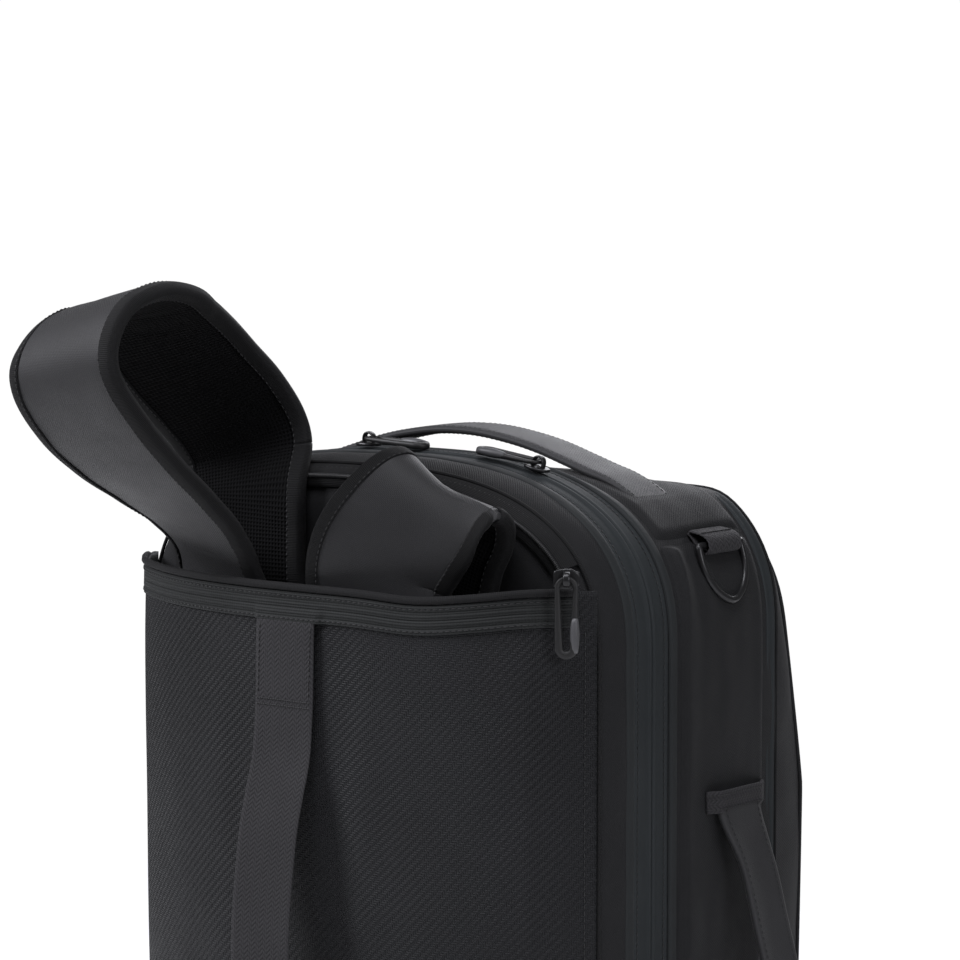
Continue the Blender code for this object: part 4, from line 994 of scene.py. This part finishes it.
def build_hardware():
    build_d_ring("d_ring_upper", (-0.1540, -0.020, 0.4733), math.radians(35), math.radians(17))
    build_d_ring("d_ring_lower", (-0.1656, -0.020, 0.0900), 0.0, 0.0)
    build_slider("rear_slider_a", (-0.084, REAR_ZIP_Y, 0.5134), (1, 0, 0.23), (-0.23, 0, 1), (1, 0, 0.115))
    build_slider("rear_slider_b", (0.032, REAR_ZIP_Y, 0.5200), (1, 0, 0), (0, 0, 1), (-1, 0, -0.06))
    build_slider("stash_slider", (-0.1495, 0.1112, 0.4665), (0.80, 0.60, 0), (-0.60, 0.80, 0), (0, 0, -1))
    for name, x in (("front_slider_a", -1), ("front_slider_b", 1)):
        at = (x * (WIDTH / 2 - LID_INSET), float(front_y(0.300)) - 0.0020, 0.300)
        build_slider(name, at, (0, 0, 1), (0, -1, 0), (0, 0, -1))
    at = (0.060, float(front_y(POCKET_ZIP_Z)) - 0.0105, POCKET_ZIP_Z)
    build_slider("pocket_slider", at, (1, 0, 0), (0, -1, 0), (0, 0, -1))
    keys = ((0.0, 0.118), (0.0, 0.102), (0.0062, 0.098), (0.0085, 0.090), (0.0062, 0.082), (0.0, 0.078), (0.0, 0.064))
    for side, sign in (("left", -1), ("right", 1)):
        path = smooth([(sign * (WIDTH / 2 + 0.0016 + dx), 0.0720, z) for dx, z in keys], 5)
        strip("lower_loop_webbing_" + side, path, (0, 1, 0), section(0.0100, 0.0018, 9, power=10), WEBBING,
              "rear_door", replaces=["lower_loop_" + side])


# ---------------------------------------------------------------- front
def build_front():
    face = [front_hoop(ROUND, 1.0, LID_INSET + 0.0006), front_hoop(ROUND, 1.0, 0.0600)]
    for share in (0.90, 0.80, 0.69, 0.58, 0.46, 0.34, 0.24, 0.14, 0.05):
        x, z = front_rim(ROUND, 0.0600)
        x, z = x * share, MIDDLE_Z + (z - MIDDLE_Z) * share
        p = np.stack([x, front_y(z) - 0.006 * (1 - share ** 2), z], -1)
        p[:, 1] += rumple(p, ((0.0016, (0.07, 1, 0.08), 41), (0.0006, (0.025, 1, 0.03), 42)))
        face.append(p)
    grid("lid_cloth", np.stack(face), PANEL, "front_lid", closed=True, caps=(False, True), thick=LID_CLOTH,
         facing=(0, -1, 0), inner=LINING, flat_uv=True, slot="shell_fabric", replaces=["lid_panel"])
    start = s_at(BASE_RADIUS)
    s = np.linspace(-start, start, 300)
    for name, sign, body in (("main", -1, "main_body"), ("lid", 1, "front_lid")):
        def place(out, high, sign=sign):
            return front_hoop(s, 1.0, LID_INSET + sign * out * 0.9, 0.0020 + high)

        zip_tape("front_zip_" + name, place, body, "front_zip_tape_" + name, facing=(0, -1, 0))
    # the lid's hinge: one strip of trim along the base, from gusset to lid
    s = np.linspace(LOOP / 2 - 0.105, LOOP / 2 + 0.105, 60)
    p = np.stack([front_hoop(s, 1.0, inset, 0.0021 if inset < 0.056 else 0.0026)
                  for inset in np.linspace(0.031, 0.060, 15)])
    hinge = grid("lid_hinge_trim", p, TRIM, None, facing=(0, -1, 0), replaces=["lid_hinge_strip"])
    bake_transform(hinge)
    xs = np.linspace(-0.080, 0.080, 60)
    half = ((-0.0140, 0.0000), (-0.0138, 0.0012), (-0.0100, 0.0014), (-0.0036, 0.0013), (-0.0028, 0.0022),
            (-0.0008, 0.0022), (-0.0003, 0.0008))
    profile = half + tuple((-dz, high) for dz, high in reversed(half))
    p = np.stack([np.stack([xs, np.full_like(xs, float(front_y(POCKET_ZIP_Z + dz)) - 0.0085 - high),
                            np.full_like(xs, POCKET_ZIP_Z + dz)], -1) for dz, high in profile])
    grid("front_pocket_zip", p, COATED, "front_lid", facing=(0, -1, 0), replaces=["front_pocket_zip_tape"])


# ---------------------------------------------------------------- inside
LONGEST_EDGE, RIPPLE, RIPPLE_SIZE = 0.012, 0.0008, 0.03


def soften(node, finish, body, seed=50):
    """A cloth piece in the place of a plain CAD sheet: finer, uneven, with a woven finish."""
    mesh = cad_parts[node].data.copy()
    obj = bpy.data.objects.new(node + "_cloth", mesh)
    bpy.context.scene.collection.objects.link(obj)
    bm = bmesh.new()
    bm.from_mesh(mesh)
    bmesh.ops.remove_doubles(bm, verts=bm.verts, dist=1e-6)
    bmesh.ops.join_triangles(bm, faces=bm.faces, angle_face_threshold=0.1, angle_shape_threshold=0.8)
    for _ in range(3):
        long_edges = [e for e in bm.edges if e.calc_length() > LONGEST_EDGE]
        if long_edges:
            bmesh.ops.subdivide_edges(bm, edges=long_edges, cuts=1, use_grid_fill=True)
    bmesh.ops.triangulate(bm, faces=[f for f in bm.faces if len(f.verts) > 4])
    for vertex in bm.verts:
        vertex.co.y += RIPPLE * noise.noise(vertex.co / RIPPLE_SIZE + Vector((seed, seed, seed)))
    layer = bm.loops.layers.uv.verify()
    for face in bm.faces:
        axis = max(range(3), key=lambda k: abs(face.normal[k]))
        first, second = ((1, 2), (0, 2), (0, 1))[axis]
        for loop in face.loops:
            loop[layer].uv = (loop.vert.co[first], loop.vert.co[second])
    bm.to_mesh(mesh)
    bm.free()
    mesh.materials.clear()
    mesh.materials.append(finish)
    mesh.shade_smooth()
    mesh.set_sharp_from_angle(angle=math.radians(50))
    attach(obj, body)
    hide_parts(node)
    return obj


def build_inside():
    soften("divider_panel", LINING, "main_body")
    soften("laptop_sleeve", LINING, "main_body", seed=51)
    soften("front_pocket_bag", LINING, "front_lid", seed=52)
    soften("lid_mesh_pocket", MESH, "front_lid", seed=53)
    foam = soften("back_foam", FOAM, "rear_door", seed=54)


def finish_cad_nodes():
    """Hard CAD pieces stay as they are, with softened edges and their own finish."""
    for names, finish, edge in (
        (("base_board",), BOARD, 0.0004),
        (("ladder_lock_left", "ladder_lock_right"), MOULDED, 0.0012),
        (("strap_hook_left", "strap_hook_right"), METAL, 0.0),
    ):
        for name in names:
            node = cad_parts[name]
            node.data.materials.clear()
            node.data.materials.append(finish)
            if edge:
                bevel = node.modifiers.new("Soft edges", "BEVEL")
                bevel.width = edge
                bevel.segments = 3
                bevel.limit_method = "ANGLE"


# ---------------------------------------------------------------- studio
AMBIENT = 0.15           # strength of the room's even light
BACKDROP = 1.02          # how bright the white backdrop looks


def build_studio():
    floor, tree, base = shader("pale_floor", 0.85, specular=0.1)
    tone = mixed(tree, cloud(tree, 3.0), (0.90, 0.90, 0.90, 1.0), (0.93, 0.93, 0.93, 1.0))
    join(tone, base.inputs["Base Color"])
    half = 1.15
    mesh = bpy.data.meshes.new("floor")
    mesh.from_pydata([(-half, -half, 0), (half, -half, 0), (half, half, 0), (-half, half, 0)], [], [(0, 1, 2, 3)])
    mesh.materials.append(floor)
    ground = bpy.data.objects.new("floor", mesh)
    bpy.context.scene.collection.objects.link(ground)

    world = bpy.data.worlds.new("studio")
    world.use_nodes = True
    tree = world.node_tree
    sky = tree.nodes["Background"]
    sky.inputs["Color"].default_value = (1.0, 1.0, 1.0, 1.0)
    seen = Value(tree, tree.nodes.new("ShaderNodeLightPath").outputs["Is Camera Ray"])
    join(seen * (BACKDROP - AMBIENT) + AMBIENT, sky.inputs["Strength"])
    bpy.context.scene.world = world

    aim = Vector((0, 0.05, 0.40))
    for name, at, size, power in (
        ("key", (2.2, 2.0, 2.2), 1.2, 112.0),
        ("top", (-0.4, 0.9, 2.7), 1.2, 44.0),
        ("side", (-3.0, 0.9, 1.5), 1.2, 34.0),
        ("front", (0.8, -2.6, 1.8), 1.8, 36.0),
    ):
        light = bpy.data.lights.new(name, "AREA")
        light.size = size
        light.energy = power
        light.color = (0.985, 0.985, 1.04)
        lamp = bpy.data.objects.new(name, light)
        lamp.location = at
        lamp.rotation_mode = "QUATERNION"
        lamp.rotation_quaternion = (aim - Vector(at)).to_track_quat("-Z", "Y")
        bpy.context.scene.collection.objects.link(lamp)

    azimuth, elevation, distance = math.radians(218.0), math.radians(5.5), 2.2
    back = Vector((math.sin(azimuth) * math.cos(elevation), -math.cos(azimuth) * math.cos(elevation),
                   math.sin(elevation)))
    right = Vector((0, 0, 1)).cross(back).normalized()
    camera = bpy.data.objects.new("camera", bpy.data.cameras.new("camera"))
    camera.data.lens = 148
    camera.data.sensor_width = 36
    camera.location = Vector((0, 0, 0.5)) + right * 0.005 + back * distance
    camera.rotation_mode = "QUATERNION"
    camera.rotation_quaternion = (-back).to_track_quat("-Z", "Y")
    bpy.context.scene.collection.objects.link(camera)
    bpy.context.scene.camera = camera
    bpy.context.scene.view_settings.view_transform = "Standard"


build_studio()
build_main_shell()
build_rear_shell()
build_side_panels()
build_front_seam()
build_rear_zip()
build_stash_panel()
build_strap("left", LEFT_ROUTE, LEFT_ACROSS)
build_strap("right", RIGHT_ROUTE, RIGHT_ACROSS)
build_webbing()
build_top_handle()
build_side_handle()
build_hardware()
build_front()
build_inside()
finish_cad_nodes()
